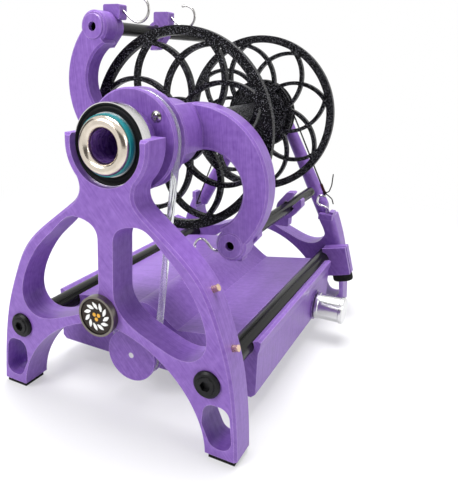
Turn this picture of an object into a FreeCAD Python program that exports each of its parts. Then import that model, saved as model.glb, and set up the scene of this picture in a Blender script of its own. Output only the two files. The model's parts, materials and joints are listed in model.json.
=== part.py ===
import FreeCAD, Part
import math
import os
import Sketcher
from FreeCAD import Placement, Rotation, Vector

# Electric yarn spinner: two A-shaped frames on a pair of rods carry a flyer, which turns on a
# bearing at the front and a bearing at the back. A motor in the base housing turns the flyer
# through a round drive band. The bobbin runs loose on the flyer's shaft and a cord brakes it.
#
# Design axes: X to the right, Y to the back, Z up, X = 0 on the flyer's axis, Y = 0 on the front
# frame's front face, Z = 0 on the table. At the end everything moves level, so that the part's
# own origin lies under the middle of its whole outline.

SIZES = [
    # stand
    ("axis_height", 154.2),
    ("stand_length", 234.5),
    ("frame_depth", 18.0),
    ("foot_half_span", 78.4),
    ("foot_width", 17.6),
    ("foot_pad_height", 3.0),
    ("foot_pad_inset", 1.5),
    ("edge_chamfer", 1.4),
    ("slot_width", 17.5),
    ("slot_height", 24.1),
    ("slot_floor", 4.5),
    ("slot_outer_wall", 2.6),
    ("slot_corner_r", 6.0),
    ("window_head_drop", 18.0),
    ("window_strut_rise", 20.0),
    ("window_floor_rise", 9.5),
    ("window_corner_rise", 7.0),
    ("bar_crown_rise", 6.5),
    ("shoulder_half_width", 20.5),
    ("shoulder_drop", 30.9),
    ("neck_half_width", 16.9),
    ("neck_rise", 6.0),
    ("cradle_wall", 4.3),
    ("cradle_prong_rise", 4.6),
    ("strut_width", 9.4),
    ("arch_height", 55.0),
    ("rod_half_gap", 60.85),
    ("rod_height", 42.5),
    ("base_rod_d", 12.0),
    ("base_rod_bore", 8.0),
    ("rod_socket_depth", 6.0),
    ("bolt_head_d", 14.4),
    ("bolt_head_height", 2.9),
    ("bolt_rim_height", 2.2),
    ("bolt_crown_d", 9.0),
    ("bolt_socket_flats", 5.0),
    ("bolt_length", 34.0),
    ("side_pin_d", 3.6),
    ("side_pin_stand_out", 3.2),
    ("side_pin_depth", 6.0),
    ("upper_pin_drop", 65.4),
    ("lower_pin_drop", 94.0),
    ("medallion_d", 22.6),
    ("medallion_left", 3.6),
    ("medallion_thickness", 4.0),
    ("medallion_rim", 1.2),
    ("medallion_recess", 1.0),
    ("medallion_rise", 5.8),
    # rear frame
    ("rear_ring_wall", 6.5),
    ("rear_ring_depth", 12.0),
    ("arm_foot_d", 12.0),
    ("arm_tip_d", 9.0),
    ("arm_foot_inset", 3.3),
    ("arm_foot_lean", 3.2),
    ("leg_top_height", 76.0),
    ("horn_width", 3.4),
    ("horn_rise", 3.5),
    ("notch_width", 3.6),
    ("notch_depth", 11.0),
    ("lip_depth", 2.6),
    ("lip_root", 3.0),
    ("lip_height", 3.0),
    ("lip_rise", 1.5),
    ("lip_reach", 4.0),
    ("leg_round_r", 4.0),
    ("bracket_front_depth", 12.0),
    ("bracket_flank_depth", 8.0),
    ("bracket_height", 19.6),
    ("bracket_below_rod", 9.5),
    ("bracket_outer_wall", 5.5),
    ("bumper_width", 16.4),
    ("bumper_depth", 11.0),
    ("bumper_height", 6.0),
    # base housing
    ("housing_front_gap", 27.0),
    ("housing_rear_gap", 9.5),
    ("housing_bottom", 11.0),
    ("housing_wall", 2.6),
    ("rod_trough_gap", 0.3),
    ("shelf_dip", 2.9),
    ("hump_rise", 8.4),
    ("hump_valley_x", 18.5),
    ("hump_crown_x", -4.0),
    ("bottom_plate_thickness", 2.4),
    # drive
    ("motor_d", 27.7),
    ("motor_length", 38.0),
    ("motor_height", 28.6),
    ("motor_shaft_d", 3.2),
    ("band_d", 4.0),
    ("flyer_band_d", 50.0),
    ("motor_band_d", 27.0),
    ("pulley_width", 12.6),
    ("pulley_flange", 2.4),
    ("pulley_rim_chamfer", 0.8),
    ("groove_floor", 3.0),
    ("groove_slope", 2.2),
    ("motor_pulley_width", 11.6),
    ("pulley_front", 22.9),
    ("pulley_screw_d", 6.0),
    ("pulley_screw_circle_r", 21.0),
    # speed control
    ("knob_d", 19.4),
    ("knob_length", 20.4),
    ("knob_band", 2.4),
    ("knob_waist_depth", 0.5),
    ("knob_y", 160.0),
    ("knob_z", 23.4),
    ("knob_stand_off", 1.8),
    ("dial_ring_d", 21.4),
    ("dial_ring_bore", 16.0),
    ("dial_ring_thickness", 1.2),
    ("pot_d", 16.0),
    ("pot_depth", 9.0),
    ("pot_shaft_d", 6.0),
    ("inlet_d", 11.0),
    ("inlet_flange_d", 14.0),
    # bearings
    ("front_bearing_d", 42.0),
    ("front_bearing_bore", 30.0),
    ("front_bearing_width", 7.0),
    ("front_bearing_recess", 3.9),
    ("bearing_ledge", 3.0),
    ("rear_bearing_d", 22.0),
    ("rear_bearing_width", 7.0),
    ("front_race_wall", 1.2),
    ("rear_race_wall", 2.1),
    ("shield_inset", 0.4),
    ("rear_bearing_recess", 3.0),
    # flyer
    ("eyelet_d", 29.8),
    ("orifice_d", 17.0),
    ("eyelet_thickness", 3.4),
    ("eyelet_stand_out", 2.6),
    ("orifice_floor", 4.0),
    ("collar_lip", 0.6),
    ("sleeve_wall", 2.6),
    ("hub_r", 20.0),
    ("arm_front", 52.5),
    ("arm_thickness", 13.5),
    ("boss_circle_r", 74.6),
    ("boss_angle", -51.6),
    ("boss_d", 18.6),
    ("boss_face_d", 13.8),
    ("boss_face_rise", 1.1),
    ("arm_chamfer", 1.2),
    ("exit_d", 10.0),
    ("shaft_step", 2.5),
    ("pulley_screw_shank_d", 2.6),
    ("pulley_screw_bite", 7.0),
    ("pulley_screw_head", 1.6),
    ("arm_outer_r", 45.5),
    ("arm_overlap", 4.8),
    ("arm_inner_r", 22.6),
    ("arm_hollow_reach", 40.6),
    ("arm_hollow_offset", 5.2),
    ("flyer_rod_d", 8.0),
    ("flyer_rod_bore", 5.4),
    ("flyer_rod_floor", 3.0),
    ("flyer_rod_end_gap", 9.5),
    ("shaft_d", 8.0),
    ("shaft_tail", 2.0),
    # sliding hooks
    ("slider_length", 7.6),
    ("slider_width", 14.4),
    ("slider_reach", 12.0),
    ("slider_mouth", 4.6),
    ("slider_lip", 2.0),
    ("slider_mouth_angle", 128.0),
    ("slider_block_left", 2.4),
    ("slider_block_right", 9.4),
    ("slider_block_rise", 13.3),
    ("slider_block_lift", 0.6),
    ("slider_block_round", 1.2),
    ("hook_wire_d", 1.3),
    ("hook_loop_r", 7.0),
    ("hook_loop_reach", 20.4),
    ("hook_loop_rise", 10.2),
    ("hook_root_depth", 1.8),
    ("hook_root_drop", 2.4),
    ("hook_end_angle", 112.0),
    ("near_slider_gap", 0.5),
    ("far_slider_left_y", 127.0),
    ("far_slider_right_y", 153.0),
    # bobbin
    ("bobbin_front_gap", 6.3),
    ("bobbin_rear_gap", 2.1),
    ("disc_r", 60.4),
    ("disc_thickness", 4.0),
    ("rim_width", 5.4),
    ("petal_band", 2.8),
    ("front_hub_r", 20.0),
    ("rear_hub_r", 23.0),
    ("core_d", 19.0),
    ("whorl_d", 54.0),
    ("whorl_width", 7.4),
    ("whorl_groove_depth", 3.2),
    ("whorl_edge", 1.6),
    # brake
    ("brake_cord_d", 1.1),
    ("brake_hook_wire_d", 1.3),
    ("knot_d", 3.2),
    ("knot_left", 2.4),
    ("knot_rise", 19.0),
    ("hook_front", 2.0),
    # fits
    ("running_gap", 0.06),
    ("seat_gap", 0.1),
    ("band_gap", 0.3),
]

doc = FreeCAD.newDocument("yarn_spinner")
sheet = doc.addObject("Spreadsheet::Sheet", "sizes")
for row, (alias, value) in enumerate(SIZES, start=1):
    sheet.set("A%d" % row, alias)
    sheet.set("B%d" % row, str(value))
    sheet.setAlias("B%d" % row, alias)
doc.recompute()


def mm(alias):
    """A driving dimension, read back from the sheet."""
    return float(sheet.get(alias))


# ---------------------------------------------------------------- places worked out from sizes

AXIS_Z = mm("axis_height")
FRONT_BACK = mm("frame_depth")
REAR_BACK = mm("stand_length")
REAR_FRONT = REAR_BACK - mm("frame_depth")
FOOT_Z = mm("foot_pad_height")
SHOULDER_Z = AXIS_Z - mm("shoulder_drop")
HOUSING_FRONT = FRONT_BACK + mm("housing_front_gap")
HOUSING_BACK = REAR_FRONT - mm("bracket_front_depth") - mm("housing_rear_gap")
HOUSING_LENGTH = HOUSING_BACK - HOUSING_FRONT
ROD_R = mm("base_rod_d") / 2
TROUGH_R = ROD_R + mm("rod_trough_gap")
WALL_OUTER_X = mm("rod_half_gap") + TROUGH_R + mm("housing_wall")
SEAT = mm("seat_gap")
BEARING_Y = mm("front_bearing_recess")
BEARING_BACK = BEARING_Y + mm("front_bearing_width")
PULLEY_BACK = mm("pulley_front") + mm("pulley_width")
ARM_BACK = mm("arm_front") + mm("arm_thickness")
REAR_BEARING_Y = REAR_FRONT + mm("rear_bearing_recess")
BOBBIN_FRONT = ARM_BACK + mm("bobbin_front_gap")
WHORL_FRONT = REAR_FRONT - mm("bobbin_rear_gap") - mm("whorl_width")
REAR_DISC_FRONT = WHORL_FRONT - mm("disc_thickness")
ROD_END = REAR_FRONT - mm("flyer_rod_end_gap")
ROD_START = mm("arm_front") + mm("flyer_rod_floor")

ALONG_Y = Rotation(Vector(1, 0, 0), -90)
ALONG_BACK = Rotation(Vector(1, 0, 0), 90)
ALONG_X = Rotation(Vector(0, 1, 0), 90)
UPRIGHT = Rotation()

nodes = []


def at(x, y, z, turn=UPRIGHT):
    """Placement of a sub-part whose own origin lies at design point x, y, z."""
    return Placement(Vector(x, y, z), turn)


def keep(obj, label, place):
    """Name a finished sub-part and put it in its place."""
    obj.Label = label
    obj.Placement = place
    nodes.append(obj)
    return obj


def shape_node(label, shape, place=None):
    """A sub-part whose shape is worked out by Part's own functions in design axes."""
    obj = doc.addObject("Part::Feature", label)
    obj.Shape = shape
    return keep(obj, label, (place or at(0, 0, 0)).multiply(shape.Placement))


# ---------------------------------------------------------------- building blocks

def cylinder(name, radius, height):
    """Part cylinder bound to the sheet; radius and height are expressions."""
    obj = doc.addObject("Part::Cylinder", name)
    obj.setExpression("Radius", radius)
    obj.setExpression("Height", height)
    return obj


def tube_node(label, outer_d, bore_d, length, place):
    """A tube along its own Z; the three sizes are expressions."""
    outer = cylinder(label + "_outside", "(%s) / 2" % outer_d, length)
    bore = cylinder(label + "_bore", "(%s) / 2" % bore_d, length)
    cut = doc.addObject("Part::Cut", label)
    cut.Base = outer
    cut.Tool = bore
    return keep(cut, label, place)


def rod_node(label, diameter, length, place):
    """A solid round rod along its own Z."""
    return keep(cylinder(label, "(%s) / 2" % diameter, length), label, place)


def origin_plane(body, role):
    for feature in body.Origin.OriginFeatures:
        if feature.Role == role:
            return feature
    raise ValueError(role)


def profile_sketch(body, name, plane, corners):
    """Closed line profile whose corners are pairs of expressions, each bound to the sheet."""
    sketch = body.newObject("Sketcher::SketchObject", name)
    sketch.AttachmentSupport = [(origin_plane(body, plane), "")]
    sketch.MapMode = "FlatFace"
    points = []
    for across, up in corners:
        probe = [evaluate(across), evaluate(up)]
        points.append(Vector(probe[0], probe[1], 0))
    count = len(points)
    for i in range(count):
        sketch.addGeometry(Part.LineSegment(points[i], points[(i + 1) % count]), False)
    for i in range(count):
        sketch.addConstraint(Sketcher.Constraint("Coincident", i, 2, (i + 1) % count, 1))
    for i, (across, up) in enumerate(corners):
        for kind, expression, value in (("DistanceX", across, points[i].x),
                                        ("DistanceY", up, points[i].y)):
            if abs(value) < 1e-9:
                axis = -2 if kind == "DistanceX" else -1
                sketch.addConstraint(Sketcher.Constraint("PointOnObject", i, 1, axis))
            else:
                index = sketch.addConstraint(Sketcher.Constraint(kind, -1, 1, i, 1, value))
                sketch.setExpression("Constraints[%d]" % index, expression)
    return sketch


def evaluate(expression):
    """Value of a sheet expression now, read through a scratch cell of the sheet."""
    sheet.set("D1", "=" + expression.replace("sizes.", ""))
    doc.recompute([sheet])
    return float(sheet.get("D1"))


def turned_node(label, corners, place):
    """PartDesign body turned about its own Z from a profile of (radius, height) expressions."""
    body = doc.addObject("PartDesign::Body", label)
    sketch = profile_sketch(body, label + "_profile", "XZ_Plane", corners)
    turn = body.newObject("PartDesign::Revolution", label + "_turn")
    turn.Profile = sketch
    turn.ReferenceAxis = (sketch, ["V_Axis"])
    turn.Angle = 360
    body.Tip = turn
    return keep(body, label, place)


def xz(x, z, y=0.0):
    return Vector(x, y, z)


def line(a, b):
    return Part.LineSegment(a, b).toShape()


def smooth(points):
    """Smooth curve through points."""
    curve = Part.BSplineCurve()
    curve.interpolate(points)
    return curve.toShape()


def plate(edges, depth, y=0.0):
    """Extrude a closed outline of edges in the XZ plane towards the back."""
    face = Part.Face(Part.Wire(edges))
    solid = face.extrude(Vector(0, depth, 0))
    solid.translate(Vector(0, y, 0))
    return solid


def drum(x, z, y, radius, depth):
    """Cylinder along Y."""
    return Part.makeCylinder(radius, depth, Vector(x, y, z), Vector(0, 1, 0))


def box(x0, x1, y0, y1, z0, z1):
    return Part.makeBox(x1 - x0, y1 - y0, z1 - z0, Vector(x0, y0, z0))


def rounded_polygon(corners, radius):
    """Edges of a closed polygon whose corners are rounded."""
    count = len(corners)
    starts = []
    ends = []
    arcs = []
    for i in range(count):
        here = corners[i]
        back = (corners[i - 1] - here).normalize()
        ahead = (corners[(i + 1) % count] - here).normalize()
        half = back.getAngle(ahead) / 2
        reach = radius / math.tan(half)
        middle = here + (back + ahead).normalize() * (radius / math.sin(half) - radius)
        starts.append(here + back * reach)
        ends.append(here + ahead * reach)
        arcs.append(Part.Arc(starts[i], middle, ends[i]).toShape())
    edges = []
    for i in range(count):
        edges.append(arcs[i])
        edges.append(line(ends[i], starts[(i + 1) % count]))
    return edges


def mirror_x(shape):
    return shape.mirror(Vector(0, 0, 0), Vector(1, 0, 0))


def both_sides(shape):
    return [shape, mirror_x(shape)]


def bent_tube(points, bends, wire_r):
    """Round wire through corner points, each corner rounded by its own bend radius."""
    edges = []
    start = points[0]
    for i in range(1, len(points) - 1):
        here = points[i]
        back = (points[i - 1] - here).normalize()
        ahead = (points[i + 1] - here).normalize()
        half = back.getAngle(ahead) / 2
        reach = bends[i - 1] / math.tan(half)
        middle = here + (back + ahead).normalize() * (bends[i - 1] / math.sin(half) - bends[i - 1])
        enter = here + back * reach
        leave = here + ahead * reach
        if (enter - start).Length > 1e-6:
            edges.append(line(start, enter))
        edges.append(Part.Arc(enter, middle, leave).toShape())
        start = leave
    if (points[-1] - start).Length > 1e-6:
        edges.append(line(start, points[-1]))
    path = Part.Wire(edges)
    along = points[1] - points[0]
    section = Part.Wire([Part.makeCircle(wire_r, points[0], along)])
    return path.makePipeShell([section], True, False)


# ---------------------------------------------------------------- frames

def leg_point(across, up):
    """Point of the leg outline, from shares of the way from shoulder to foot and foot to shoulder."""
    x = mm("shoulder_half_width") + (mm("foot_half_span") - mm("shoulder_half_width")) * across
    z = FOOT_Z + (SHOULDER_Z - FOOT_Z) * up
    return xz(x, z)


OUTER_LEG = [(0.0, 1.0), (0.346, 0.868), (0.607, 0.743), (0.768, 0.586), (0.880, 0.429), (0.950, 0.263),
             (1.0, 0.0)]
WINDOW_SIDE = [(0.03, 0.932), (0.22, 0.862), (0.407, 0.775), (0.554, 0.677), (0.645, 0.580)]


def outer_leg_x(z):
    """Half width of the leg's outside at a height below the shoulder."""
    probe = smooth([leg_point(a, u) for a, u in OUTER_LEG])
    level = line(xz(0, z), xz(mm("foot_half_span") * 2, z))
    return probe.distToShape(level)[1][0][0].x


def arch_outline():
    """Round arch between the legs, a little more pointed than an ellipse."""
    half = mm("foot_half_span") - mm("foot_width")
    power = 2 / 1.8
    steps = 6
    right = []
    for i in range(steps + 1):
        turn = math.radians(90 * i / steps)
        x = half * abs(math.cos(turn)) ** power
        z = FOOT_Z + mm("arch_height") * math.sin(turn) ** power
        right.append(xz(x if i < steps else 0.0, z))
    left = [xz(-p.x, p.z) for p in reversed(right[:-1])]
    below = FOOT_Z - 5
    return [smooth(right + left), line(left[-1], xz(-half, below)), line(xz(-half, below), xz(half, below)),
            line(xz(half, below), right[0])]


def foot_slot():
    """Rounded slot through the foot, wider at its top."""
    right = mm("foot_half_span") - mm("slot_outer_wall")
    left = right - mm("slot_width")
    low = FOOT_Z + mm("slot_floor")
    high = low + mm("slot_height")
    middle = low + mm("slot_height") * 0.48
    taper = mm("slot_width") * 0.16
    corners = [xz(left + taper * 0.3, high), xz(right - taper, high), xz(right, low), xz(left + taper * 2, low),
               xz(left, middle)]
    return rounded_polygon(corners, mm("slot_corner_r"))


WINDOW_FLOOR = [(0.075, 1.0), (0.231, 0.295), (0.476, -0.295), (0.702, -0.716), (0.890, -0.632)]


def window_floor():
    """Points of the window's lower edge, from the strut to the leg."""
    crown = FOOT_Z + mm("arch_height")
    start = mm("strut_width") / 2
    run = leg_point(*WINDOW_SIDE[-1]).x - start
    first = xz(start, crown + mm("window_strut_rise"))
    return [first] + [xz(start + run * share, crown + rise * mm("window_floor_rise")) for share, rise in WINDOW_FLOOR]


def window():
    """Opening between strut, leg and arch, on the right."""
    half = mm("strut_width") / 2
    top = SHOULDER_Z - mm("window_head_drop")
    strut_top = xz(half, top)
    floor = window_floor()
    side = [leg_point(a, u) for a, u in WINDOW_SIDE]
    corner = xz(side[-1].x + 0.6, floor[-1].z + mm("window_corner_rise"))
    to_leg = side[0] - strut_top
    head = [strut_top, strut_top + Vector(to_leg.x * 0.2, 0, to_leg.z * 0.72),
            strut_top + Vector(to_leg.x * 0.56, 0, to_leg.z * 0.98)]
    loop = head + side + [corner] + list(reversed(floor))
    return [smooth(loop), line(floor[0], strut_top)]


def frame_outside():
    """Outline of the front frame with its bearing cradle."""
    outer_r = mm("front_bearing_d") / 2 + mm("cradle_wall")
    top = AXIS_Z + mm("cradle_prong_rise")
    neck = xz(mm("neck_half_width"), SHOULDER_Z + mm("neck_rise"))
    turn = math.radians(-44)
    cradle_end = xz(outer_r * math.cos(turn), AXIS_Z + outer_r * math.sin(turn))
    cradle_side = xz(outer_r * math.cos(turn / 2), AXIS_Z + outer_r * math.sin(turn / 2))
    cradle_top = xz(outer_r, AXIS_Z)
    leg = [leg_point(a, u) for a, u in OUTER_LEG]
    right = [line(xz(outer_r, top), cradle_top), Part.Arc(cradle_top, cradle_side, cradle_end).toShape(),
             smooth([cradle_end, neck, leg[0]]), smooth(leg)]
    left = [mirror_x(edge) for edge in right]
    return right + [line(leg[-1], xz(-leg[-1].x, leg[-1].z))] + left + [line(xz(-outer_r, top), xz(outer_r, top))]


def closed_plate(edges, depth, y=0.0):
    return plate(Part.__sortEdges__(edges), depth, y)


def rod_bores(solid, face_y, inward):
    """Socket for each base rod on the inner face and a clear hole for its bolt."""
    socket = mm("rod_socket_depth")
    low = face_y - socket if inward > 0 else face_y
    for side in (-1, 1):
        x = side * mm("rod_half_gap")
        solid = solid.cut(drum(x, mm("rod_height"), low, ROD_R + SEAT, socket))
        solid = solid.cut(drum(x, mm("rod_height"), -20, mm("base_rod_bore") / 2 + SEAT, REAR_BACK + 40))
    return solid


def side_pin_place(z):
    """Root and direction of a pin square to the right leg's outside."""
    step = 1.0
    x_low = outer_leg_x(z - step)
    x_high = outer_leg_x(z + step)
    out = Vector(2 * step, 0, x_low - x_high).normalize()
    return Vector(outer_leg_x(z), FRONT_BACK / 2, z), out


PIN_HEIGHTS = (AXIS_Z - mm("upper_pin_drop"), AXIS_Z - mm("lower_pin_drop"))


def edges_at(solid, y, above):
    """Edges of a solid that lie wholly in the plane at y and reach above a height."""
    found = []
    for edge in solid.Edges:
        bounds = edge.BoundBox
        if abs(bounds.YMin - y) < 1e-3 and abs(bounds.YMax - y) < 1e-3 and bounds.ZMax > above + 0.5:
            found.append(edge)
    return found


def front_frame():
    depth = mm("frame_depth")
    chamfer = mm("edge_chamfer")
    solid = closed_plate(frame_outside(), depth)
    solid = solid.makeChamfer(chamfer, edges_at(solid, 0, FOOT_Z) + edges_at(solid, depth, FOOT_Z))
    solid = solid.cut(closed_plate(arch_outline(), depth + 2, -1))
    for tool in both_sides(closed_plate(window(), depth + 2, -1)):
        solid = solid.cut(tool)
    for tool in both_sides(closed_plate(foot_slot(), depth + 2, -1)):
        solid = solid.cut(tool)
    seat_r = mm("front_bearing_d") / 2 + SEAT
    seat_back = BEARING_BACK + SEAT
    solid = solid.cut(drum(0, AXIS_Z, -1, seat_r, seat_back + 1))
    solid = solid.cut(drum(0, AXIS_Z, seat_back, seat_r - mm("bearing_ledge"), depth))
    solid = rod_bores(solid, FRONT_BACK, 1)
    for z in PIN_HEIGHTS:
        root, out = side_pin_place(z)
        bore = Part.makeCylinder(mm("side_pin_d") / 2 + SEAT, 2 * mm("side_pin_depth"),
                                 root - out * mm("side_pin_depth"), out)
        solid = solid.cut(bore)
    return solid


def rear_arm(side):
    """Tapered round arm from the leg's top to the bearing ring."""
    foot_x = notch_middle() - mm("arm_foot_inset") + mm("arm_foot_lean")
    foot = Vector(side * foot_x, 0, mm("leg_top_height") - mm("arm_foot_d") / 2)
    ring_r = mm("rear_bearing_d") / 2 + mm("rear_ring_wall")
    tip = Vector(side * (ring_r - mm("arm_tip_d") / 2 + 0.6), 0, AXIS_Z)
    run = tip - foot
    arm = Part.makeCone(mm("arm_foot_d") / 2, mm("arm_tip_d") / 2, run.Length, foot, run)
    arm.translate(Vector(0, REAR_FRONT + mm("frame_depth") / 2, 0))
    return arm


def leg_slab(depth, y):
    """Everything inside the right leg's outer edge, as deep as asked."""
    leg = [leg_point(a, u) for a, u in OUTER_LEG]
    inner_top = xz(0, leg[0].z)
    inner_low = xz(0, leg[-1].z)
    return closed_plate([smooth(leg), line(leg[-1], inner_low), line(inner_low, inner_top), line(inner_top, leg[0])],
                        depth, y)


def rear_leg():
    """Right leg of the rear frame: the front frame's foot and leg with a round outer edge, cut off at its top."""
    depth = mm("frame_depth")
    slab = leg_slab(depth, REAR_FRONT)
    shoulder = mm("shoulder_half_width") - 1
    outside = [edge for edge in edges_at(slab, REAR_FRONT, FOOT_Z)
               if edge.BoundBox.XMin > shoulder and edge.BoundBox.ZLength > 1]
    slab = slab.makeFillet(mm("leg_round_r"), outside)
    return slab.common(box(0, mm("foot_half_span") * 2, REAR_FRONT, REAR_BACK, FOOT_Z, mm("leg_top_height")))


def rear_frame():
    depth = mm("frame_depth")
    top = mm("leg_top_height")
    half = rear_leg()
    half = half.cut(closed_plate(window(), depth + 2, REAR_FRONT - 1))
    crown = FOOT_Z + mm("arch_height")
    floor_edge = window_floor()[1:]
    bar_top = [xz(0, crown + mm("bar_crown_rise"))] + floor_edge[1:]
    sky = max(top, bar_top[0].z) + 5
    clear = [smooth(bar_top), line(bar_top[-1], xz(bar_top[-1].x, sky)), line(xz(bar_top[-1].x, sky), xz(0, sky)),
             line(xz(0, sky), bar_top[0])]
    half = half.cut(closed_plate(clear, depth + 2, REAR_FRONT - 1))
    outer_x = outer_leg_x(top)
    horn_in = outer_x - mm("horn_width")
    horn_z = top + mm("horn_rise")
    half = half.fuse(box(horn_in, outer_x, REAR_FRONT, REAR_FRONT + depth / 2, top - 2, horn_z))
    ring_r = mm("rear_bearing_d") / 2 + mm("rear_ring_wall")
    ring = drum(0, AXIS_Z, REAR_FRONT, ring_r, mm("rear_ring_depth"))
    solid = half.fuse([mirror_x(half), rear_arm(1), rear_arm(-1), ring])
    # the brake's notch runs between the arm's foot and a small horn on the outside of the leg
    notch = box(horn_in - mm("notch_width"), horn_in, REAR_FRONT - 1, REAR_BACK + 1, top - mm("notch_depth"),
                top + mm("arm_foot_d"))
    solid = solid.cut(both_sides(notch))
    # on the right a lip closes the notch in front, and the brake's hook hangs on it
    lip = box(horn_in - mm("notch_width") - mm("lip_reach"), outer_x, REAR_FRONT - mm("lip_depth"),
              REAR_FRONT + mm("lip_root"), top - mm("lip_height"), top + mm("lip_rise"))
    solid = solid.fuse(lip)
    solid = solid.cut(closed_plate(arch_outline(), depth + 2, REAR_FRONT - 1))
    for tool in both_sides(closed_plate(foot_slot(), depth + 2, REAR_FRONT - 1)):
        solid = solid.cut(tool)
    seat_r = mm("rear_bearing_d") / 2 + SEAT
    seat_back = REAR_BEARING_Y + mm("rear_bearing_width") + SEAT
    solid = solid.cut(drum(0, AXIS_Z, REAR_FRONT - 1, seat_r, seat_back - REAR_FRONT + 1))
    solid = solid.cut(drum(0, AXIS_Z, REAR_FRONT, seat_r - mm("bearing_ledge"), depth + 5))
    solid = rod_bores(solid, REAR_FRONT, -1)
    return solid.removeSplitter()


def bracket_low():
    return mm("rod_height") - mm("bracket_below_rod")


def corner_bracket(side):
    """Block in front of the rear leg that takes the rod's end and wraps the leg's outside."""
    low = bracket_low()
    high = low + mm("bracket_height")
    wall = mm("bracket_outer_wall")
    inner_x = mm("rod_half_gap") - ROD_R - 2.2
    outline = [xz(inner_x + 4.8, high), xz(outer_leg_x(high) + wall, high), xz(outer_leg_x(low) + wall, low),
               xz(inner_x + 5.5, low), xz(inner_x, mm("rod_height") - 4.0), xz(inner_x, mm("rod_height") + 4.0)]
    front = REAR_FRONT - mm("bracket_front_depth")
    depth = mm("bracket_front_depth") + mm("bracket_flank_depth")
    solid = plate(rounded_polygon(outline, 1.0), depth, front)
    # a narrow seam round the outside parts the block from its flank, which stands a little higher
    seam_y = front + mm("bracket_front_depth") / 2
    core = plate(rounded_polygon(outline, 1.0), 2.0, seam_y - 0.6)
    core.translate(Vector(-1.4, 0, -1.0))
    seam = plate(rounded_polygon(outline, 1.0), 0.8, seam_y).cut(core)
    solid = solid.cut(seam)
    gap = mm("seat_gap")
    hollow = leg_slab(mm("frame_depth"), REAR_FRONT - gap)
    hollow.translate(Vector(gap, 0, 0))
    solid = solid.cut(hollow)
    solid = solid.cut(drum(mm("rod_half_gap"), mm("rod_height"), front - 1, ROD_R + SEAT, depth + 2))
    return solid if side > 0 else mirror_x(solid)


def bumper(side):
    """Rubber pad under the bracket, in front of the leg."""
    low = bracket_low()
    x1 = outer_leg_x(low) + mm("bracket_outer_wall") + 0.8
    x0 = x1 - mm("bumper_width")
    y1 = REAR_FRONT - SEAT * 3
    y0 = y1 - mm("bumper_depth")
    corners = [Vector(x0, y0, 0), Vector(x1, y0, 0), Vector(x1, y1, 0), Vector(x0, y1, 0)]
    face = Part.Face(Part.Wire(rounded_polygon(corners, 4.6)))
    solid = face.extrude(Vector(0, 0, mm("bumper_height")))
    solid.translate(Vector(0, 0, low - mm("bumper_height")))
    return solid if side > 0 else mirror_x(solid)


def make_stand():
    shape_node("front_frame", front_frame())
    shape_node("rear_frame", rear_frame())
    pad_width = mm("foot_width") - 2 * mm("foot_pad_inset")
    pad_x = mm("foot_half_span") - mm("foot_width") / 2
    for end, y in (("front", 0.0), ("rear", REAR_FRONT)):
        for side_name, side in (("left", -1), ("right", 1)):
            pad = doc.addObject("Part::Box", "%s_%s_foot_pad" % (end, side_name))
            pad.setExpression("Length", "sizes.foot_width - 2 * sizes.foot_pad_inset")
            pad.setExpression("Width", "sizes.frame_depth - 2 * sizes.foot_pad_inset")
            pad.setExpression("Height", "sizes.foot_pad_height")
            keep(pad, pad.Name, at(side * pad_x - pad_width / 2, y + mm("foot_pad_inset"), 0))
    rod_length = "sizes.stand_length - 2 * sizes.frame_depth + 2 * sizes.rod_socket_depth"
    rod_start = FRONT_BACK - mm("rod_socket_depth")
    for side_name, side in (("left", -1), ("right", 1)):
        place = at(side * mm("rod_half_gap"), rod_start, mm("rod_height"), ALONG_Y)
        tube_node("base_rod_%s" % side_name, "sizes.base_rod_d", "sizes.base_rod_bore", rod_length, place)
    for end, y, turn in (("front", 0.0, ALONG_Y), ("rear", REAR_BACK, ALONG_BACK)):
        shape_node("%s_rod_bolts" % end, rod_bolts(y, 1 if turn == ALONG_Y else -1))
    for side_name, side in (("left", -1), ("right", 1)):
        shape_node("rear_bracket_%s" % side_name, corner_bracket(side))
        shape_node("rear_bumper_%s" % side_name, bumper(side))
    pins = []
    for z in PIN_HEIGHTS:
        root, out = side_pin_place(z)
        length = mm("side_pin_depth") + mm("side_pin_stand_out")
        pins.append(Part.makeCylinder(mm("side_pin_d") / 2, length, root - out * mm("side_pin_depth"), out))
    shape_node("side_pins", Part.makeCompound(pins))
    medallion_x = -mm("medallion_left")
    medallion_z = FOOT_Z + mm("arch_height") + mm("medallion_rise")
    rim_in = "sizes.medallion_d / 2 - sizes.medallion_rim"
    floor = "sizes.medallion_thickness - sizes.medallion_recess"
    case = [("0", "0"), ("sizes.medallion_d / 2", "0"), ("sizes.medallion_d / 2", "sizes.medallion_thickness"),
            (rim_in, "sizes.medallion_thickness"), (rim_in, floor), ("0", floor)]
    turned_node("medallion_case", case, at(medallion_x, 0, medallion_z, ALONG_BACK))
    face = cylinder("medallion_face", "%s - sizes.seat_gap" % rim_in, "sizes.medallion_recess - 2 * sizes.seat_gap")
    face_y = mm("medallion_recess") - mm("medallion_thickness")
    keep(face, "medallion_face", at(medallion_x, face_y, medallion_z, ALONG_BACK))


def hexagon(flats, z, depth):
    """Upright six-sided prism, measured across its flats."""
    corner = Vector(flats / math.sqrt(3), 0, z)
    ring = [Rotation(Vector(0, 0, 1), 60 * i).multVec(corner) for i in range(7)]
    return Part.Face(Part.makePolygon(ring)).extrude(Vector(0, 0, depth))


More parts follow.
